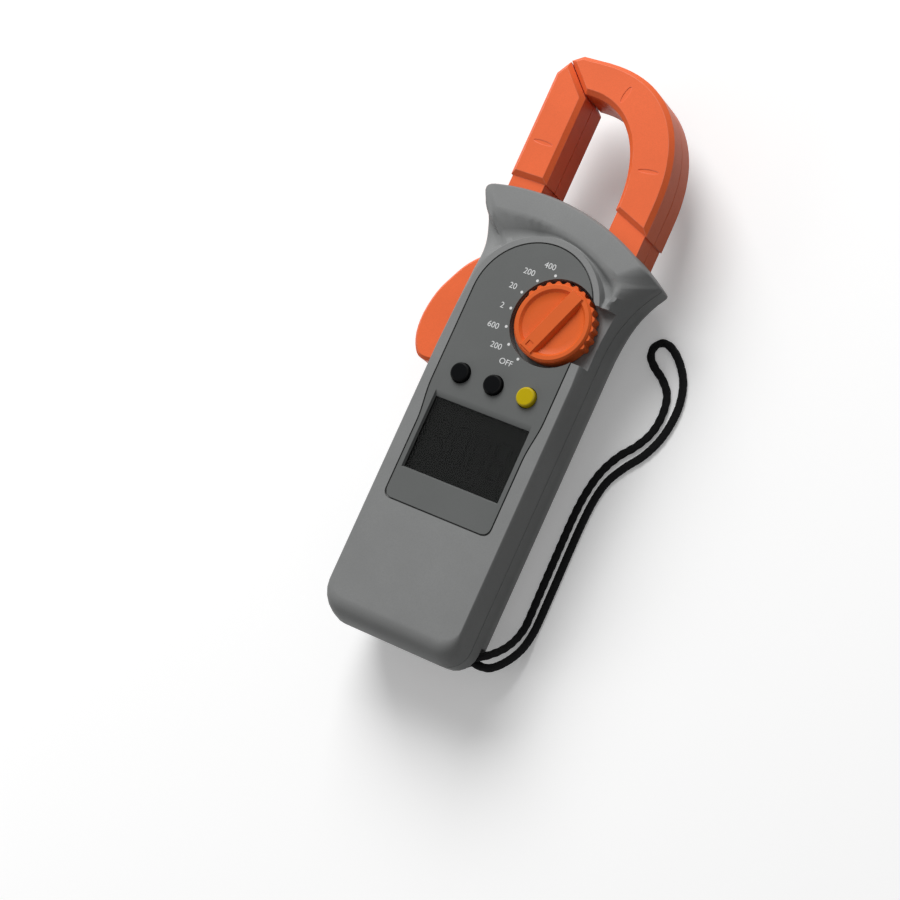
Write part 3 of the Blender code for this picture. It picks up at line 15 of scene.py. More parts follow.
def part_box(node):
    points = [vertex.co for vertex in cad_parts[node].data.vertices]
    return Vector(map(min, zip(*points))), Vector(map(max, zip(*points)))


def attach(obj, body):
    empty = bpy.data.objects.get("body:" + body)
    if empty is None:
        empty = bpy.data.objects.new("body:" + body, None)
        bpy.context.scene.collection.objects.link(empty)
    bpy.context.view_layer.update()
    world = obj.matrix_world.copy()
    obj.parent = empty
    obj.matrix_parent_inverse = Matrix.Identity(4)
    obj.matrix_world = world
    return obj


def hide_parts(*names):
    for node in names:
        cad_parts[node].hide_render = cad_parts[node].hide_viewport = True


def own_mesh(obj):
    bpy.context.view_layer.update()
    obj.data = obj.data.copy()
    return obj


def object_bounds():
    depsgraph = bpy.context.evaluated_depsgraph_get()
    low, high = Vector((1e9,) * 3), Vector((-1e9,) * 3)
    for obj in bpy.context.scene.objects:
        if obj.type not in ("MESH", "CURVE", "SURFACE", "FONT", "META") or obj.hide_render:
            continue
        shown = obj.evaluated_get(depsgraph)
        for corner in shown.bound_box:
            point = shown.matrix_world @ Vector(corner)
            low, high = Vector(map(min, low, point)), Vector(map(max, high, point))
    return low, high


bl_info = {
    "name": "Clamp meter looks",
    "version": (1, 0, 0),
    "blender": (4, 5, 0),
    "location": "3D Viewport > Sidebar > Clamp meter",
    "description": "Skins, finishes, strap and studio for the packed clamp meter",
    "category": "Object",
}

MM = 0.001

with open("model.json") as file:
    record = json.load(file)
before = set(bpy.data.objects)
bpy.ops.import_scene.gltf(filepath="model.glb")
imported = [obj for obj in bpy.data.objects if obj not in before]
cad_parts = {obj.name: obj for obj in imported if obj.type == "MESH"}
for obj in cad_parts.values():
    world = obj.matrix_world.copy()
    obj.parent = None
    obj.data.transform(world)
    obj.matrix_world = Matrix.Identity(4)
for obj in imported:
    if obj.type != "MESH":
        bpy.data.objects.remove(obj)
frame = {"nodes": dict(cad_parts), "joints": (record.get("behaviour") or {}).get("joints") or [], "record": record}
CAD_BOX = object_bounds()
JOINTS = {joint["name"]: joint for joint in frame["joints"]}
BODY_OF = {
    node: body for body, nodes in frame["record"]["behaviour"]["bodies"].items() for node in nodes
}
PANEL_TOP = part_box("face_panel")[1].z
GLASS_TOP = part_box("lcd_glass")[1].z
DIAL_CENTRE = Vector(JOINTS["dial_turn"]["pos_m"])

# The camera stands where the photograph was taken from.
CAMERA_PLACE = Vector((401.39, -127.19, 838.86)) * MM
CAMERA_RIGHT = Vector((0.82976, 0.41092, -0.37768))
CAMERA_UP = Vector((-0.32910, 0.90677, 0.26355))
SENSOR_WIDTH = 36.0

# Where the lamps stand from the middle of the meter, and how wide they are, in metres
KEY_PLACE = Vector((-0.38, 0.66, 0.65)) * 2.3
KEY_SIZE = 1.5
RIM_PLACE = Vector((-0.70, -0.55, 0.46))
RIM_SIZE = 0.5

# The floor as the meter sees it, and how much whiter the camera sees it than the lamps make it
FLOOR_SIZE = 12.0
FLOOR_BOUNCE = (0.17, 0.17, 0.17)
FLOOR_GLOW = 0.20

# Angles in degrees past which an edge is rounded
SHARP = 38.0
SHARP_ON_TURNED = 34.0
SHARP_ON_CASE = {"front_case": 58.0, "rear_case": 42.0}

# Marks pressed in the jaws: two end points and a half width, in millimetres
BAR_MARKS = (((-27.3, 77.2), (-19.1, 77.1), 0.75),)
HOOK_MARKS = (
    ((16.9, 78.3), (25.1, 79.5), 0.75),
    ((-0.8, 100.4), (0.6, 107.2), 0.95),
)

# Unlit digits of the display
DIGITS = 4
DIGIT_HEIGHT = 14.0 * MM
DIGIT_WIDTH = 5.6 * MM
DIGIT_PITCH = 8.6 * MM
BAR_WIDTH = 1.0 * MM
BAR_GAP = 1.4 * MM
BAR_POINT = 0.45 * MM

# Stops of the dial, anticlockwise from the top, and what is printed beside each.
DIAL_FIRST_STOP = 112.5
DIAL_STOP_STEP = 22.5
DIAL_PRINT = ("400", "200", "20", "2", "600", "200", "OFF")

# The strap leaves the body at its lower right corner, runs along the side and turns back in a loop.
STRAP_REST = 1.15
STRAP_ROUTE = (
    (24.3, -106.7, 16.9),
    (29.8, -105.2, 15.8),
    (33.8, -98.0, 8.0),
    (34.2, -88.0, STRAP_REST),
    (34.0, -72.0, STRAP_REST),
    (33.8, -56.0, STRAP_REST),
    (33.8, -43.0, STRAP_REST),
    (34.6, -33.5, STRAP_REST),
    (36.6, -25.0, STRAP_REST),
    (40.4, -17.5, STRAP_REST),
    (45.2, -11.5, STRAP_REST),
    (48.6, -5.0, STRAP_REST),
    (49.6, 2.5, STRAP_REST),
    (48.2, 10.0, STRAP_REST),
    (44.0, 15.0, STRAP_REST),
    (39.3, 18.2, STRAP_REST),
    (36.0, 21.6, STRAP_REST),
    (35.6, 25.4, STRAP_REST),
    (38.2, 28.0, STRAP_REST),
    (42.4, 27.2, STRAP_REST),
    (47.6, 23.0, STRAP_REST),
    (52.0, 16.6, STRAP_REST),
    (54.2, 8.6, STRAP_REST),
    (54.2, 0.8, STRAP_REST),
    (52.6, -7.0, STRAP_REST),
    (49.2, -14.2, STRAP_REST),
    (44.4, -20.6, STRAP_REST),
    (40.4, -27.6, STRAP_REST),
    (38.6, -35.5, STRAP_REST),
    (38.0, -45.0, STRAP_REST),
    (38.0, -57.0, STRAP_REST),
    (38.2, -72.0, STRAP_REST),
    (38.2, -88.0, STRAP_REST),
    (37.4, -99.0, 5.5),
    (32.6, -107.6, 11.3),
    (24.3, -108.3, 12.8),
)
STRAP_STEPS = 22
STRAP_SIDES = 20
BRAID_RELIEF = 0.06


# Properties that a user would change


def colour_property(name, description, default):
    """A colour swatch with three channels in linear light."""
    return FloatVectorProperty(
        name=name, description=description, subtype="COLOR", size=3, min=0.0, max=1.0, default=default
    )


def length_property(name, description, default):
    """A length in metres."""
    return FloatProperty(name=name, description=description, unit="LENGTH", min=0.0, default=default)


class MeterColours(bpy.types.PropertyGroup):
    """Colours of the finishes."""

    jaw: colour_property("Jaw orange", "Plastic of the jaws and their trigger", (0.87, 0.150, 0.044))
    knob: colour_property("Knob orange", "Plastic of the dial knob", (0.74, 0.126, 0.022))
    case: colour_property("Case grey", "Plastic of the two case halves", (0.234, 0.238, 0.237))
    panel: colour_property("Panel grey", "Plastic of the inset face panel", (0.128, 0.133, 0.131))
    black: colour_property(
        "Black plastic", "Black button caps and inner mouldings", (0.0040, 0.0044, 0.0050)
    )
    yellow: colour_property("Yellow cap", "Cap of the yellow button", (0.53, 0.40, 0.002))
    red: colour_property("Red plastic", "Shroud of the live jack", (0.42, 0.018, 0.014))
    print_white: colour_property("Printing", "Dots and numbers beside the dial", (0.74, 0.75, 0.75))
    strap: colour_property("Strap", "Braided cord of the wrist strap", (0.0040, 0.0041, 0.0045))


class MeterSizes(bpy.types.PropertyGroup):
    """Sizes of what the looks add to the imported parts."""

    jaw_edge: length_property("Jaw edge", "Rounding of the jaw edges", 1.1 * MM)
    case_edge: length_property("Case edge", "Rounding of the case edges", 0.4 * MM)
    small_edge: length_property("Small edge", "Rounding of small parts", 0.2 * MM)
    knob_edge: length_property("Knob edge", "Rounding of the dial knob", 0.3 * MM)
    button_edge: length_property("Button edge", "Rounding of the button caps", 0.35 * MM)
    pin_edge: length_property("Pin edge", "Rounding of screws and pins", 0.1 * MM)
    mark_depth: length_property("Mark depth", "Depth of the marks pressed in the jaws", 0.22 * MM)
    dot_ring: length_property("Dot ring", "Radius of the ring of dial dots", 18.1 * MM)
    dot_radius: length_property("Dot radius", "Radius of one dial dot", 0.55 * MM)
    number_ring: length_property("Number ring", "Radius of the ring of dial numbers", 21.0 * MM)
    number_height: length_property("Number height", "Size of the dial numbers", 3.2 * MM)
    print_height: length_property("Print height", "Thickness of the printing", 0.03 * MM)
    strap_width: length_property("Strap width", "Width of the flat braided strap", 3.2 * MM)
    strap_thick: length_property("Strap thickness", "Thickness of the flat braided strap", 2.0 * MM)
    braid_pitch: length_property("Braid pitch", "Length of one stitch of the braid", 1.9 * MM)


class MeterStudio(bpy.types.PropertyGroup):
    """Camera, lamps and floor."""

    lens: FloatProperty(name="Lens", description="Focal length in mm on a 36 mm sensor", default=99.72)
    key_power: FloatProperty(name="Key lamp", description="Power of the main lamp in watts", default=54.0)
    rim_power: FloatProperty(name="Rim lamp", description="Power of the low lamp in watts", default=1.2)
    fill: FloatProperty(name="Fill", description="Strength of the light from all round", default=0.24)
    floor: colour_property("Floor", "Colour of the floor", (0.93, 0.93, 0.93))


# Shader sheets


class Term:
    """A shader value that takes part in Python arithmetic."""

    def __init__(self, sheet, socket):
        self.sheet = sheet
        self.socket = socket

    def maths(self, operation, first, second):
        return self.sheet.node("ShaderNodeMath", {"operation": operation}, {0: first, 1: second})

    def __add__(self, other):
        return self.maths("ADD", self, other)

    __radd__ = __add__

    def __sub__(self, other):
        return self.maths("SUBTRACT", self, other)

    def __rsub__(self, other):
        return self.maths("SUBTRACT", other, self)

    def __mul__(self, other):
        return self.maths("MULTIPLY", self, other)

    __rmul__ = __mul__

    def above(self, other):
        return self.maths("GREATER_THAN", self, other)

    def most(self, other):
        return self.maths("MAXIMUM", self, other)

    def wave(self):
        return self.maths("SINE", self, 0.0)

    def size(self):
        return self.maths("ABSOLUTE", self, 0.0)

    def ramp(self, low, high):
        """0 below low, 1 above high and smooth between them."""
        return self.sheet.node(
            "ShaderNodeMapRange",
            {"interpolation_type": "SMOOTHSTEP", "clamp": True},
            {"Value": self, "From Min": low, "From Max": high, "To Min": 0.0, "To Max": 1.0},
        )


class Sheet:
    """The node tree of one finish."""

    def __init__(self, name):
        self.material = bpy.data.materials.new(name)
        self.material.use_nodes = True
        self.tree = self.material.node_tree
        self.tree.nodes.clear()

    def node(self, kind, settings=None, sockets=None, out=0):
        """Adds a node, sets it up, fills its sockets and returns one of its outputs."""
        made = self.tree.nodes.new(kind)
        for key, value in (settings or {}).items():
            setattr(made, key, value)
        for key, value in (sockets or {}).items():
            if isinstance(value, Term):
                self.tree.links.new(value.socket, made.inputs[key])
            else:
                made.inputs[key].default_value = value
        return Term(self, made.outputs[out]) if made.outputs else None

    def place(self):
        return self.node("ShaderNodeTexCoord", out="Object")

    def turned(self, stretch):
        """Object coordinates stretched by three factors."""
        return self.node("ShaderNodeMapping", None, {"Vector": self.place(), "Scale": stretch})

    def axis(self, name):
        return self.node("ShaderNodeSeparateXYZ", None, {0: self.place()}, out=name)

    def noise(self, scale, detail=2.0, roughness=0.5, where=None):
        sockets = {"Vector": where or self.place(), "Scale": scale, "Detail": detail, "Roughness": roughness}
        return self.node("ShaderNodeTexNoise", None, sockets, out="Fac")

    def cells(self, scale):
        sockets = {"Vector": self.place(), "Scale": scale}
        return self.node("ShaderNodeTexVoronoi", None, sockets, out="Distance")

    def worn(self):
        """1 on rounded edges and 0 elsewhere, from the skin's own attribute."""
        return self.node("ShaderNodeAttribute", {"attribute_name": "worn"}, out="Fac")

    def blend(self, share, first, second):
        """One colour over another."""
        first, second = (c if isinstance(c, Term) else (*c, 1.0) for c in (first, second))
        return self.node("ShaderNodeMix", {"data_type": "RGBA"}, {0: share, 6: first, 7: second}, out=2)

    def bump(self, height, distance):
        return self.node("ShaderNodeBump", None, {"Distance": distance, "Height": height}, out="Normal")

    def close(self, **sockets):
        """Ends the sheet in a Principled shader with the given sockets."""
        named = {key.replace("_", " "): value for key, value in sockets.items()}
        shader = self.node("ShaderNodeBsdfPrincipled", None, named)
        self.node("ShaderNodeOutputMaterial", None, {"Surface": shader})
        return self.material


def shade(colour, factor):
    """The same colour lighter or darker."""
    return tuple(min(1.0, channel * factor) for channel in colour)


def toward(colour, other, share):
    """A colour part of the way to another one."""
    return tuple(a + (b - a) * share for a, b in zip(colour, other))


def moulded(name, colour, roughness, grain, depth, mottle=0.07, wear=0.35, gloss=0.16):
    """Moulded plastic: faint clouding, spark-eroded grain, rubbed edges and a few fine scuffs."""
    sheet = Sheet(name)
    cloud = sheet.noise(38.0, 4.0, 0.6)
    grit = sheet.noise(1.0 / grain, 3.0, 0.6)
    scuff = sheet.noise(70.0, 6.0, 0.7, sheet.turned((1.0, 7.0, 1.0))).ramp(0.66, 0.74)
    rubbed = sheet.worn() * sheet.noise(160.0, 5.0, 0.65).ramp(0.30, 0.62)
    body = sheet.blend(cloud.ramp(0.25, 0.75), shade(colour, 1.0 - mottle), shade(colour, 1.0 + mottle))
    speckled = sheet.blend(grit.ramp(0.35, 0.75) * 0.5, body, shade(colour, 0.86))
    edged = sheet.blend(rubbed * wear, speckled, toward(colour, (0.9, 0.88, 0.84), 0.30))
    return sheet.close(
        Base_Color=edged,
        Roughness=roughness + (grit - 0.5) * 0.16 + scuff * 0.07 - rubbed * 0.10,
        Specular_IOR_Level=gloss,
        Normal=sheet.bump(grit + cloud * 0.3, depth),
    )


def brushed(name, colour, roughness, stretch):
    """Metal with fine lines along one axis and darker handling marks."""
    sheet = Sheet(name)
    lines = sheet.noise(900.0, 3.0, 0.6, sheet.turned(stretch))
    stain = sheet.noise(120.0, 4.0, 0.6).ramp(0.45, 0.8)
    tone = sheet.blend(lines, shade(colour, 0.88), colour)
    return sheet.close(
        Base_Color=sheet.blend(stain * 0.4, tone, shade(colour, 0.6)),
        Roughness=roughness + (lines - 0.5) * 0.18 + stain * 0.12,
        Metallic=1.0,
        Normal=sheet.bump(lines, 0.006 * MM),
    )


def laminated(name):
    """Stack of thin core sheets with an oxide film between them."""
    sheet = Sheet(name)
    layers = (sheet.axis("Z") * (2 * pi / (0.5 * MM))).wave().size()
    film = sheet.noise(260.0, 4.0, 0.6)
    steel = sheet.blend(film, (0.20, 0.20, 0.21), (0.34, 0.33, 0.32))
    return sheet.close(
        Base_Color=sheet.blend(layers.ramp(0.1, 0.4), (0.06, 0.055, 0.05), steel),
        Roughness=0.38 + film * 0.2,
        Metallic=0.9,
        Normal=sheet.bump(layers, 0.05 * MM),
    )


def wound(name):
    """Enamelled wire wound round the core's leg."""
    sheet = Sheet(name)
    turns = (sheet.axis("X") * (2 * pi / (0.35 * MM))).wave() * 0.5 + 0.5
    tint = sheet.noise(300.0, 3.0)
    wire = sheet.blend(tint, (0.42, 0.13, 0.035), (0.62, 0.22, 0.07))
    return sheet.close(
        Base_Color=sheet.blend(turns.ramp(0.0, 0.35), (0.10, 0.03, 0.01), wire),
        Roughness=0.26 + tint * 0.14,
        Metallic=0.85,
        Normal=sheet.bump(turns, 0.12 * MM),
    )


def circuit(name):
    """Board with green solder mask over copper tracks."""
    sheet = Sheet(name)
    tracks = sheet.node(
        "ShaderNodeTexBrick",
        {"offset": 0.5},
        {
            "Vector": sheet.place(),
            "Scale": 160.0,
            "Mortar Size": 0.05,
            "Color1": (1.0, 1.0, 1.0, 1.0),
            "Color2": (1.0, 1.0, 1.0, 1.0),
            "Mortar": (0.0, 0.0, 0.0, 1.0),
        },
        out="Fac",
    )
    pads = 1.0 - sheet.cells(240.0).ramp(0.10, 0.16)
    mask = sheet.blend(tracks, (0.008, 0.085, 0.030), (0.016, 0.150, 0.050))
    return sheet.close(
        Base_Color=sheet.blend(pads, mask, (0.62, 0.60, 0.55)),
        Roughness=0.42 - pads * 0.12 + sheet.noise(400.0) * 0.1,
        Metallic=pads * 0.9,
        Normal=sheet.bump(tracks + pads * 0.6, 0.03 * MM),
    )


def jacketed(name):
    """Battery sleeve in two tones with a plain band near one end."""
    sheet = Sheet(name)
    along = sheet.axis("Y")
    low, high = (corner.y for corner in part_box("battery"))
    band = along.above(low + (high - low) * 0.72)
    crease = sheet.noise(180.0, 4.0, 0.6)
    return sheet.close(
        Base_Color=sheet.blend(band, (0.020, 0.021, 0.024), (0.40, 0.27, 0.10)),
        Roughness=0.24 + crease * 0.18,
        Metallic=band * 0.5,
        Normal=sheet.bump(crease, 0.04 * MM),
    )


def tinted_window(name):
    """Smoked clear window over the display, with faint wiping marks."""
    sheet = Sheet(name)
    wipes = sheet.noise(60.0, 5.0, 0.6, sheet.turned((9.0, 1.0, 1.0))).ramp(0.50, 0.75)
    return sheet.close(
        Base_Color=sheet.blend(wipes, (0.010, 0.011, 0.0105), (0.014, 0.015, 0.0145)),
        Roughness=0.05 + wipes * 0.05,
        Specular_IOR_Level=0.15,
        Alpha=0.55,
    )


def display_glass(name):
    """Unlit liquid crystal glass: dark grey-green with a faint fleck."""
    sheet = Sheet(name)
    fleck = sheet.noise(5200.0, 2.0)
    haze = sheet.noise(55.0, 3.0)
    base = sheet.blend(haze, (0.050, 0.056, 0.050), (0.064, 0.071, 0.063))
    return sheet.close(
        Base_Color=sheet.blend(fleck.ramp(0.5, 0.8) * 0.12, base, (0.085, 0.095, 0.085)),
        Roughness=0.20 + haze * 0.12,
        Specular_IOR_Level=0.2,
        Normal=sheet.bump(haze, 0.002 * MM),
    )


def ink(name, colour):
    """Pad-printed ink with small breaks in its cover."""
    sheet = Sheet(name)
    cover = sheet.noise(1800.0, 3.0, 0.6)
    return sheet.close(
        Base_Color=sheet.blend(cover.ramp(0.3, 0.7), shade(colour, 0.86), colour),
        Roughness=0.55 + (cover - 0.5) * 0.2,
        Normal=sheet.bump(cover, 0.006 * MM),
    )


def braided(name, colour):
    """Nylon braid: two sets of yarns crossing, read from the strap's own UV map in stitches; its colour carries
    painted shade between the yarns and painted highlight on their crowns.
    """
    sheet = Sheet(name)
    flat = sheet.node("ShaderNodeUVMap", {"uv_map": "braid"})
    across = sheet.node("ShaderNodeSeparateXYZ", None, {0: flat}, out="X")
    along = sheet.node("ShaderNodeSeparateXYZ", None, {0: flat}, out="Y")
    fibre = ((across * 26.0 + along * 9.0) * (2 * pi)).wave() * 0.5 + 0.5
    other = ((across * 26.0 - along * 9.0) * (2 * pi)).wave() * 0.5 + 0.5
    fuzz = sheet.noise(1500.0, 4.0, 0.7)
    weave_relief_and_shade = fibre.most(other)
    return sheet.close(
        # Painted shade and highlight: darker in the grooves between the yarns, lighter on their crowns, mixed with
        # random fuzz tone.
        Base_Color=sheet.blend(weave_relief_and_shade * 0.6 + fuzz * 0.4, shade(colour, 0.45), shade(colour, 1.7)),
        Roughness=0.62 + fuzz * 0.22,
        Specular_IOR_Level=0.12,
        Sheen_Weight=0.05,
        Sheen_Roughness=0.4,
        Normal=sheet.bump(weave_relief_and_shade + fuzz * 0.5, 0.05 * MM),
    )


def rubbery(name, colour):
    """Matt silicone rubber with a dusty bloom."""
    sheet = Sheet(name)
    bloom = sheet.noise(90.0, 5.0, 0.6)
    pores = sheet.noise(1400.0, 3.0)
    return sheet.close(
        Base_Color=sheet.blend(bloom, shade(colour, 0.8), shade(colour, 1.4)),
        Roughness=0.68 + pores * 0.15,
        Normal=sheet.bump(pores, 0.02 * MM),
    )


FINISHES = {}


def make_finishes(colours):
    """Makes every finish once, under the name of the slot that it belongs to."""
    fine, coarse = 0.26 * MM, 0.42 * MM
    FINISHES.update(
        orange_shell=moulded("orange_shell", colours.jaw, 0.42, coarse, 0.020 * MM, 0.045),
        orange_knob=moulded("orange_knob", colours.knob, 0.36, fine, 0.012 * MM, 0.045),
        grey_shell=moulded("grey_shell", colours.case, 0.50, coarse, 0.024 * MM, 0.05, 0.28),
        grey_panel=moulded("grey_panel", colours.panel, 0.46, fine, 0.014 * MM, 0.045, 0.25),
        black_plastic=moulded("black_plastic", colours.black, 0.34, fine, 0.010 * MM, 0.15, 0.05, 0.03),
        yellow_button=moulded("yellow_button", colours.yellow, 0.34, fine, 0.010 * MM, 0.05, 0.10, 0.08),
        red_plastic=moulded("red_plastic", colours.red, 0.36, fine, 0.010 * MM, 0.08, 0.25),
        white_plastic=moulded("white_plastic", (0.62, 0.61, 0.58), 0.44, fine, 0.010 * MM, 0.04, 0.15),
        display_lens=tinted_window("display_lens"),
        display_glass=display_glass("display_glass"),
        display_mark=ink("display_mark", (0.030, 0.034, 0.031)),
        board=circuit("board"),
        rubber=rubbery("rubber", (0.030, 0.030, 0.032)),
        steel=brushed("steel", (0.56, 0.56, 0.55), 0.28, (1.0, 1.0, 12.0)),
        core_steel=laminated("core_steel"),
        brass=brushed("brass", (0.72, 0.50, 0.20), 0.24, (1.0, 8.0, 1.0)),
        copper=wound("copper"),
        battery_jacket=jacketed("battery_jacket"),
        strap_cord=braided("strap_cord", colours.strap),
        print_white=ink("print_white", colours.print_white),
    )


# Modelling by hand


def clear_selection():
    if bpy.context.object is not None and bpy.context.object.mode != "OBJECT":
        bpy.ops.object.mode_set(mode="OBJECT")
    bpy.ops.object.select_all(action="DESELECT")


def take(piece):
    """Makes one object the only selected and the active one."""
    clear_selection()
    piece.select_set(True)
    bpy.context.view_layer.objects.active = piece
    return piece


def settle(piece):
    """Puts an object's place, turn and size into its mesh."""
    take(piece)
    bpy.ops.object.transform_apply(location=True, rotation=True, scale=True)


def add_modifier(piece, kind, **settings):
    """Adds a modifier with its settings and applies it."""
    take(piece)
    modifier = piece.modifiers.new(kind.lower(), kind)
    for key, value in settings.items():
        setattr(modifier, key, value)
    bpy.ops.object.modifier_apply(modifier=modifier.name)


def dress(piece, finish):
    piece.data.materials.clear()
    piece.data.materials.append(FINISHES[finish])


def enter(piece, body, slot, *nodes):
    """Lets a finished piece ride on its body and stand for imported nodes."""
    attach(piece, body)
    if nodes:
        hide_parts(*nodes)
    return piece


def merged_copy(node, name):
    """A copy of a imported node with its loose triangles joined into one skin."""
    skin = bpy.data.objects.new(name, frame["nodes"][node].data.copy())
    bpy.context.scene.collection.objects.link(skin)
    take(skin)
    bpy.ops.mesh.customdata_custom_splitnormals_clear()
    bpy.ops.object.mode_set(mode="EDIT")
    bpy.ops.mesh.select_all(action="SELECT")
    bpy.ops.mesh.remove_doubles(threshold=0.002 * MM)
    bpy.ops.mesh.dissolve_limited(angle_limit=radians(0.6))
    bpy.ops.object.mode_set(mode="OBJECT")
    return skin


def round_edges(skin, width, sharp, segments, finish):
    """Rounds the sharp edges, notes where they were for the wear, and smooths what is left."""
    skin.data.materials.clear()
    for _ in range(2):
        skin.data.materials.append(FINISHES[finish])
    if width > 0.0:
        add_modifier(
            skin,
            "BEVEL",
            width=width,
            segments=segments,
            limit_method="ANGLE",
            angle_limit=radians(sharp),
            use_clamp_overlap=True,
            miter_outer="MITER_ARC",
            material=1,
        )
    rubbed = skin.data.attributes.new("worn", "FLOAT", "FACE")
    rubbed.data.foreach_set("value", [float(face.material_index) for face in skin.data.polygons])
    for face in skin.data.polygons:
        face.material_index = 0
    skin.data.materials.pop()
    take(skin)
    bpy.ops.object.shade_smooth_by_angle(angle=radians(sharp))
    add_modifier(skin, "WEIGHTED_NORMAL", keep_sharp=True, weight=60)
    return skin


def skin_of(node, finish, slot, width, sharp=SHARP, segments=3, shape=None):
    """Stands a rounded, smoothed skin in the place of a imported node."""
    skin = merged_copy(node, node + "_skin")
    if shape is not None:
        shape(skin)
    round_edges(skin, width, sharp, segments, finish)
    return enter(skin, BODY_OF[node], slot, node)


def join(pieces, name):
    """Joins like pieces into one."""
    clear_selection()
    for piece in pieces:
        piece.select_set(True)
    bpy.context.view_layer.objects.active = pieces[0]
    bpy.ops.object.join()
    pieces[0].name = name
    return pieces[0]


def press_mark(skin, start, end, half_width, depth):
    """Presses a slim lens-shaped mark into the front of a jaw, between two points."""
    start, end = Vector(start) * MM, Vector(end) * MM
    run = end - start
    middle = (start + end) / 2
    top = max(vertex.co.z for vertex in skin.data.vertices)
    clear_selection()
    bpy.ops.mesh.primitive_cylinder_add(vertices=28, radius=1.0, depth=1.0)
    cutter = bpy.context.object
    cutter.scale = (run.length / 2, half_width, 2 * depth)
    cutter.rotation_euler = (0.0, 0.0, run.angle_signed(Vector((1.0, 0.0))))
    cutter.location = (middle.x, middle.y, top)
    settle(cutter)
    add_modifier(skin, "BOOLEAN", object=cutter, operation="DIFFERENCE", solver="EXACT")
    bpy.data.objects.remove(cutter)


# Operators, in the order in which they run


class METER_OT_camera(bpy.types.Operator):
    """Stand the camera where the photograph was taken from"""

    bl_idname = "meter.camera"
    bl_label = "Camera"

    def execute(self, context):
        data = bpy.data.cameras.new("photo_camera")
        data.lens = context.scene.meter_studio.lens
        data.sensor_width = SENSOR_WIDTH
        data.clip_start = 0.01
        data.clip_end = 20.0
        camera = bpy.data.objects.new("photo_camera", data)
        back = CAMERA_RIGHT.cross(CAMERA_UP)
        turn = Matrix((CAMERA_RIGHT, CAMERA_UP, back)).transposed().to_4x4()
        camera.matrix_world = Matrix.Translation(CAMERA_PLACE) @ turn
        context.scene.collection.objects.link(camera)
        context.scene.camera = camera
        return {"FINISHED"}


class METER_OT_finishes(bpy.types.Operator):
    """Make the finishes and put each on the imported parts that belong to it"""

    bl_idname = "meter.finishes"
    bl_label = "Finishes"

    def execute(self, context):
        make_finishes(context.scene.meter_colours)
        for node in frame["nodes"].values():
            for slot in node.material_slots:
                slot.material = FINISHES[slot.material.name.split(".")[0]]
        return {"FINISHED"}


def strap_line():
    """Points of the strap's centreline in metres, on a smooth run through the route."""
    knots = [Vector(point) * MM for point in STRAP_ROUTE]
    line = []
    for k in range(len(knots) - 1):
        before, here = knots[max(k - 1, 0)], knots[k]
        after, beyond = knots[k + 1], knots[min(k + 2, len(knots) - 1)]
        for n in range(STRAP_STEPS):
            t = n / STRAP_STEPS
            pull = (after - before) * t
            pull += (2 * before - 5 * here + 4 * after - beyond) * t**2
            pull += (3 * here - before - 3 * after + beyond) * t**3
            point = here + pull * 0.5
            point.z = max(point.z, STRAP_REST * MM)
            line.append(point)
    line.append(knots[-1])
    return line


def strap_rings(line, sizes):
    """Points of the strap's surface ring by ring, the stitches up to each ring, and its length."""
    half_width, half_thick = sizes.strap_width / 2, sizes.strap_thick / 2
    points, stitches, gone, side = [], [], 0.0, Vector((1.0, 0.0, 0.0))
    for k, here in enumerate(line):
        ahead = (line[min(k + 1, len(line) - 1)] - line[max(k - 1, 0)]).normalized()
        level = Vector((0.0, 0.0, 1.0)).cross(ahead)
        side = level.normalized() if level.length > 0.2 else side
        side = (side - ahead * side.dot(ahead)).normalized()
        top = ahead.cross(side)
        gone += (here - line[max(k - 1, 0)]).length
        stitch = gone / sizes.braid_pitch
        for n in range(STRAP_SIDES):
            turn = 2 * pi * n / STRAP_SIDES
            plait = max(sin(2 * turn + pi * stitch), sin(2 * turn - pi * stitch + pi / 2))
            swell = 1.0 - BRAID_RELIEF + BRAID_RELIEF * plait
            across = side * (half_width * swell * cos(turn))
            points.append(here + across + top * (half_thick * swell * sin(turn)))
        stitches.append(stitch)
    return points, stitches, gone


def strap_faces(rings):
    """Faces between the strap's rings, with a cap on each end."""
    faces = [tuple(reversed(range(STRAP_SIDES)))]
    for k in range(rings - 1):
        low, high = k * STRAP_SIDES, (k + 1) * STRAP_SIDES
        for n in range(STRAP_SIDES):
            after = (n + 1) % STRAP_SIDES
            faces.append((low + n, low + after, high + after, high + n))
    faces.append(tuple(range((rings - 1) * STRAP_SIDES, rings * STRAP_SIDES)))
    return faces


def lay_braid(mesh, stitches):
    """Maps the strap's sides in turns round it and stitches along it."""
    layer = mesh.uv_layers.new(name="braid")
    for face in mesh.polygons[1:-1]:
        seam = any(mesh.loops[i].vertex_index % STRAP_SIDES == STRAP_SIDES - 1 for i in face.loop_indices)
        for i in face.loop_indices:
            ring, n = divmod(mesh.loops[i].vertex_index, STRAP_SIDES)
            around = n + STRAP_SIDES if seam and n == 0 else n
            layer.data[i].uv = (around / STRAP_SIDES, stitches[ring])


class METER_OT_strap(bpy.types.Operator):
    """Lay the braided wrist strap along its route"""

    bl_idname = "meter.strap"
    bl_label = "Wrist strap"

    def execute(self, context):
        sizes = context.scene.meter_sizes
        line = strap_line()
        points, stitches, length = strap_rings(line, sizes)
        mesh = bpy.data.meshes.new("wrist_strap_braid")
        mesh.from_pydata(points, [], strap_faces(len(line)))
        lay_braid(mesh, stitches)
        strap = bpy.data.objects.new("wrist_strap_braid", mesh)
        context.scene.collection.objects.link(strap)
        take(strap)
        bpy.ops.object.shade_smooth()
        dress(strap, "strap_cord")
        enter(strap, "meter_body", "strap_cord", "wrist_strap")
        return {"FINISHED"}


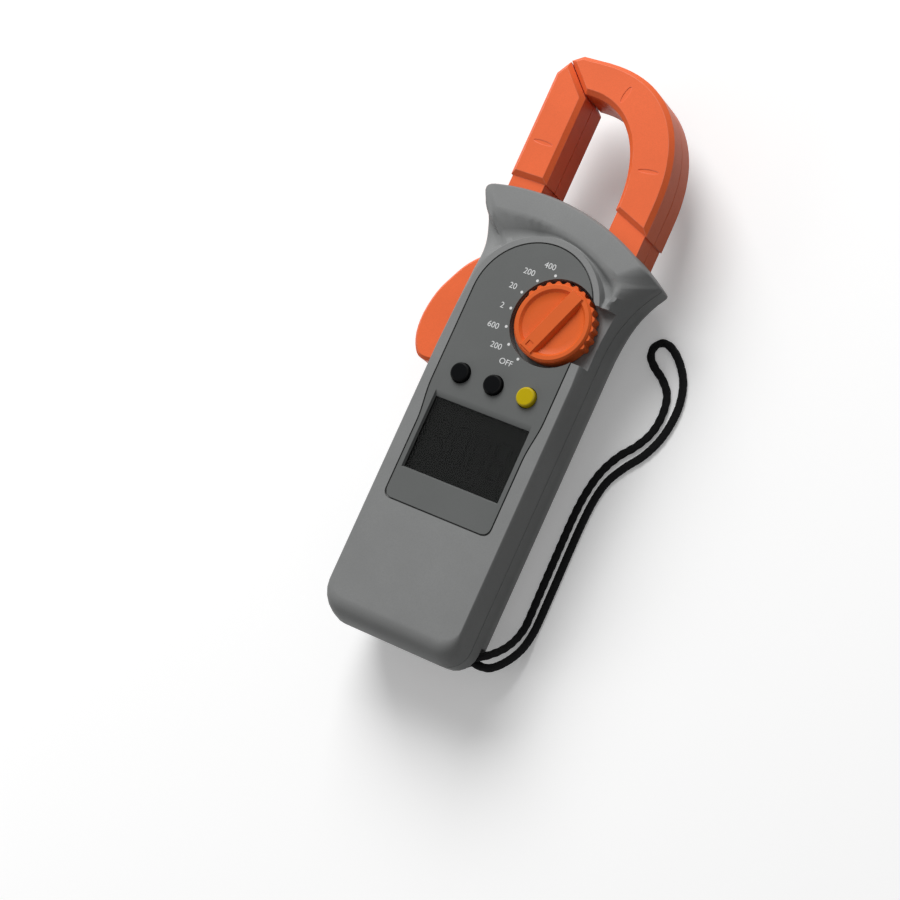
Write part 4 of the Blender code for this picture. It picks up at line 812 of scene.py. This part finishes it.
class METER_OT_jaws(bpy.types.Operator):
    """Skin the jaw halves and press their marks"""

    bl_idname = "meter.jaws"
    bl_label = "Jaws"

    def execute(self, context):
        sizes = context.scene.meter_sizes

        def pressed(marks):
            def press(skin):
                for start, end, half_width in marks:
                    press_mark(skin, start, end, half_width * MM, sizes.mark_depth)

            return press

        shapes = {"fixed_jaw_front": pressed(HOOK_MARKS), "moving_jaw_front": pressed(BAR_MARKS)}
        for node in ("fixed_jaw_front", "fixed_jaw_rear", "moving_jaw_front", "moving_jaw_rear"):
            skin_of(node, "orange_shell", "orange_shell", sizes.jaw_edge, segments=4, shape=shapes.get(node))
        return {"FINISHED"}


class METER_OT_case(bpy.types.Operator):
    """Skin the two case halves and the battery door"""

    bl_idname = "meter.case"
    bl_label = "Case"

    def execute(self, context):
        sizes = context.scene.meter_sizes
        for node, sharp in SHARP_ON_CASE.items():
            skin_of(node, "grey_shell", "grey_shell", sizes.case_edge, sharp)
        skin_of("battery_door", "grey_shell", "grey_shell", sizes.small_edge)
        return {"FINISHED"}


class METER_OT_face(bpy.types.Operator):
    """Skin the face panel and print the dots and numbers of the dial"""

    bl_idname = "meter.face"
    bl_label = "Face panel"

    def execute(self, context):
        sizes = context.scene.meter_sizes
        skin_of("face_panel", "grey_panel", "grey_panel", sizes.small_edge)
        dots, words = [], []
        for k, word in enumerate(DIAL_PRINT):
            angle = radians(DIAL_FIRST_STOP + DIAL_STOP_STEP * k)
            out = Vector((cos(angle), sin(angle), 0.0))
            dots.append(self.dot(DIAL_CENTRE + out * sizes.dot_ring, sizes))
            words.append(self.word(word, DIAL_CENTRE + out * sizes.number_ring, out, sizes))
        for pieces, name in ((dots, "dial_dots"), (words, "dial_numbers")):
            printed = join(pieces, name)
            dress(printed, "print_white")
            enter(printed, "meter_body", "white_plastic")
        return {"FINISHED"}

    def dot(self, place, sizes):
        """One round dot with a softened rim."""
        clear_selection()
        bpy.ops.mesh.primitive_cylinder_add(
            vertices=24,
            radius=sizes.dot_radius,
            depth=2 * sizes.print_height,
            location=(place.x, place.y, PANEL_TOP),
        )
        dot = bpy.context.object
        settle(dot)
        add_modifier(dot, "BEVEL", width=sizes.print_height * 0.6, segments=2, limit_method="ANGLE")
        return dot

    def word(self, text, place, out, sizes):
        """One printed number beside its dot, level with the panel."""
        clear_selection()
        bpy.ops.object.text_add(location=(place.x, place.y, PANEL_TOP))
        word = bpy.context.object
        word.data.body = text
        word.data.size = sizes.number_height
        word.data.extrude = sizes.print_height
        word.data.align_x = "RIGHT" if out.x < -0.3 else "CENTER"
        word.data.align_y = "CENTER"
        bpy.ops.object.convert(target="MESH")
        settle(word)
        return word


class METER_OT_knob(bpy.types.Operator):
    """Skin the dial knob"""

    bl_idname = "meter.knob"
    bl_label = "Dial knob"

    def execute(self, context):
        edge = context.scene.meter_sizes.knob_edge
        skin_of("dial_knob", "orange_knob", "orange_shell", edge, SHARP_ON_TURNED)
        return {"FINISHED"}


class METER_OT_buttons(bpy.types.Operator):
    """Skin the three button caps and the rubber domes under them"""

    bl_idname = "meter.buttons"
    bl_label = "Buttons"

    def execute(self, context):
        finishes = {
            "button_select": "black_plastic",
            "button_max": "black_plastic",
            "button_hold": "yellow_button",
        }
        for node, finish in finishes.items():
            skin_of(node, finish, finish, context.scene.meter_sizes.button_edge, SHARP_ON_TURNED)
        for name in ("select", "max", "hold"):
            dome = skin_of("dome_" + name, "rubber", "rubber", 0.0)
            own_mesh(dome)
        return {"FINISHED"}


class METER_OT_display(bpy.types.Operator):
    """Skin the display window and lay the unlit segments on its glass"""

    bl_idname = "meter.display"
    bl_label = "Display"

    def execute(self, context):
        sizes = context.scene.meter_sizes
        skin_of("lcd_window", "display_lens", "display_lens", sizes.small_edge)
        low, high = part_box("lcd_glass")
        middle = (low + high) / 2
        bars = []
        for digit in range(DIGITS):
            x = middle.x + (digit - (DIGITS - 1) / 2) * DIGIT_PITCH
            for row in (-1, 0, 1):
                bars.append(self.bar((x, middle.y + row * DIGIT_HEIGHT / 2), DIGIT_WIDTH, False, sizes))
            for column in (-1, 1):
                for half in (-1, 1):
                    place = (x + column * DIGIT_WIDTH / 2, middle.y + half * DIGIT_HEIGHT / 4)
                    bars.append(self.bar(place, DIGIT_HEIGHT / 2, True, sizes))
        segments = join(bars, "display_segments")
        dress(segments, "display_mark")
        enter(segments, "meter_body", "display_glass")
        return {"FINISHED"}

    def bar(self, place, length, upright, sizes):
        """One pointed bar of a digit."""
        clear_selection()
        bpy.ops.mesh.primitive_cube_add(size=1.0, location=(*place, GLASS_TOP))
        bar = bpy.context.object
        bar.scale = (length - BAR_GAP, BAR_WIDTH, 2 * sizes.print_height)
        bar.rotation_euler = (0.0, 0.0, pi / 2 if upright else 0.0)
        settle(bar)
        bpy.ops.object.mode_set(mode="EDIT")
        bpy.ops.mesh.select_all(action="DESELECT")
        bpy.ops.object.mode_set(mode="OBJECT")
        for edge in bar.data.edges:
            ends = [bar.data.vertices[i].co for i in edge.vertices]
            edge.select = abs(ends[0].z - ends[1].z) > sizes.print_height
        bpy.ops.object.mode_set(mode="EDIT")
        bpy.ops.mesh.bevel(offset=BAR_POINT, segments=1)
        bpy.ops.object.mode_set(mode="OBJECT")
        return bar


class METER_OT_jacks(bpy.types.Operator):
    """Skin the input jacks"""

    bl_idname = "meter.jacks"
    bl_label = "Jacks"

    def execute(self, context):
        small = context.scene.meter_sizes.small_edge
        skin_of("jack_shroud_common", "black_plastic", "black_plastic", small)
        skin_of("jack_shroud_volt", "red_plastic", "red_plastic", small)
        for node in ("jack_sleeve_common", "jack_sleeve_volt"):
            skin_of(node, "brass", "brass", small)
        return {"FINISHED"}


class METER_OT_metal(bpy.types.Operator):
    """Skin the screws and pins that show"""

    bl_idname = "meter.metal"
    bl_label = "Screws and pins"

    def execute(self, context):
        shown = [f"case_screw_{k}" for k in range(1, 6)]
        shown += ["battery_door_screw", "jaw_pivot_pin", "strap_pin"]
        for node in shown:
            skin_of(node, "steel", "steel", context.scene.meter_sizes.pin_edge, segments=2)
        return {"FINISHED"}


class METER_OT_stage(bpy.types.Operator):
    """Lay the floor and set the lamps"""

    bl_idname = "meter.stage"
    bl_label = "Stage"

    def execute(self, context):
        studio = context.scene.meter_studio
        context.scene.view_settings.view_transform = "Standard"
        self.floor(context, studio)
        self.world(context, studio)
        middle = (CAD_BOX[0] + CAD_BOX[1]) / 2
        lamps = (
            ("key_lamp", studio.key_power, KEY_SIZE, KEY_PLACE),
            ("rim_lamp", studio.rim_power, RIM_SIZE, RIM_PLACE),
        )
        for name, power, size, away in lamps:
            data = bpy.data.lights.new(name, "AREA")
            data.energy = power
            data.size = size
            lamp = bpy.data.objects.new(name, data)
            lamp.location = middle + away
            lamp.rotation_euler = away.to_track_quat("Z", "Y").to_euler()
            context.scene.collection.objects.link(lamp)
        return {"FINISHED"}

    def seen(self, sheet):
        """1 for what the camera, a reflection or a view through glass sees."""
        rays = [
            sheet.node("ShaderNodeLightPath", out=name)
            for name in ("Is Camera Ray", "Is Glossy Ray", "Is Transmission Ray")
        ]
        return rays[0].most(rays[1]).most(rays[2])

    def floor(self, context, studio):
        clear_selection()
        bpy.ops.mesh.primitive_grid_add(x_subdivisions=4, y_subdivisions=4, size=FLOOR_SIZE)
        floor = context.object
        floor.name = "studio_floor"
        floor.location.z = CAD_BOX[0].z
        settle(floor)
        sheet = Sheet("studio_floor")
        seen = self.seen(sheet)
        floor.data.materials.append(
            sheet.close(
                Base_Color=sheet.blend(seen, FLOOR_BOUNCE, studio.floor),
                Roughness=0.9,
                Specular_IOR_Level=0.0,
                Emission_Color=sheet.blend(seen, (0.0, 0.0, 0.0), (1.0, 1.0, 1.0)),
                Emission_Strength=FLOOR_GLOW,
            )
        )

    def world(self, context, studio):
        world = bpy.data.worlds.new("studio_world")
        world.use_nodes = True
        context.scene.world = world
        sheet = Sheet.__new__(Sheet)
        sheet.tree = world.node_tree
        sheet.tree.nodes.clear()
        strength = self.seen(sheet) * (1.0 - studio.fill) + studio.fill
        sockets = {"Color": (1.0, 1.0, 1.0, 1.0), "Strength": strength}
        light = sheet.node("ShaderNodeBackground", None, sockets)
        sheet.node("ShaderNodeOutputWorld", None, {"Surface": light})


OPERATORS = (
    METER_OT_camera,
    METER_OT_finishes,
    METER_OT_strap,
    METER_OT_jaws,
    METER_OT_case,
    METER_OT_face,
    METER_OT_knob,
    METER_OT_buttons,
    METER_OT_display,
    METER_OT_jacks,
    METER_OT_metal,
    METER_OT_stage,
)
GROUPS = {"meter_colours": MeterColours, "meter_sizes": MeterSizes, "meter_studio": MeterStudio}


class METER_PT_sidebar(bpy.types.Panel):
    """Lists the operators and what a user would change"""

    bl_idname = "METER_PT_sidebar"
    bl_label = "Clamp meter"
    bl_space_type = "VIEW_3D"
    bl_region_type = "UI"
    bl_category = "Clamp meter"

    def draw(self, context):
        for operator in OPERATORS:
            self.layout.operator(operator.bl_idname)
        for name, group in GROUPS.items():
            box = self.layout.box()
            for key in group.__annotations__:
                box.prop(getattr(context.scene, name), key)


def register():
    for name, group in GROUPS.items():
        bpy.utils.register_class(group)
        setattr(bpy.types.Scene, name, PointerProperty(type=group))
    for made in (*OPERATORS, METER_PT_sidebar):
        bpy.utils.register_class(made)


def unregister():
    for made in (METER_PT_sidebar, *reversed(OPERATORS)):
        bpy.utils.unregister_class(made)
    for name, group in GROUPS.items():
        delattr(bpy.types.Scene, name)
        bpy.utils.unregister_class(group)


def main():
    register()
    for operator in OPERATORS:
        group, name = operator.bl_idname.split(".")
        getattr(getattr(bpy.ops, group), name)()


if __name__ == "__main__":
    main()
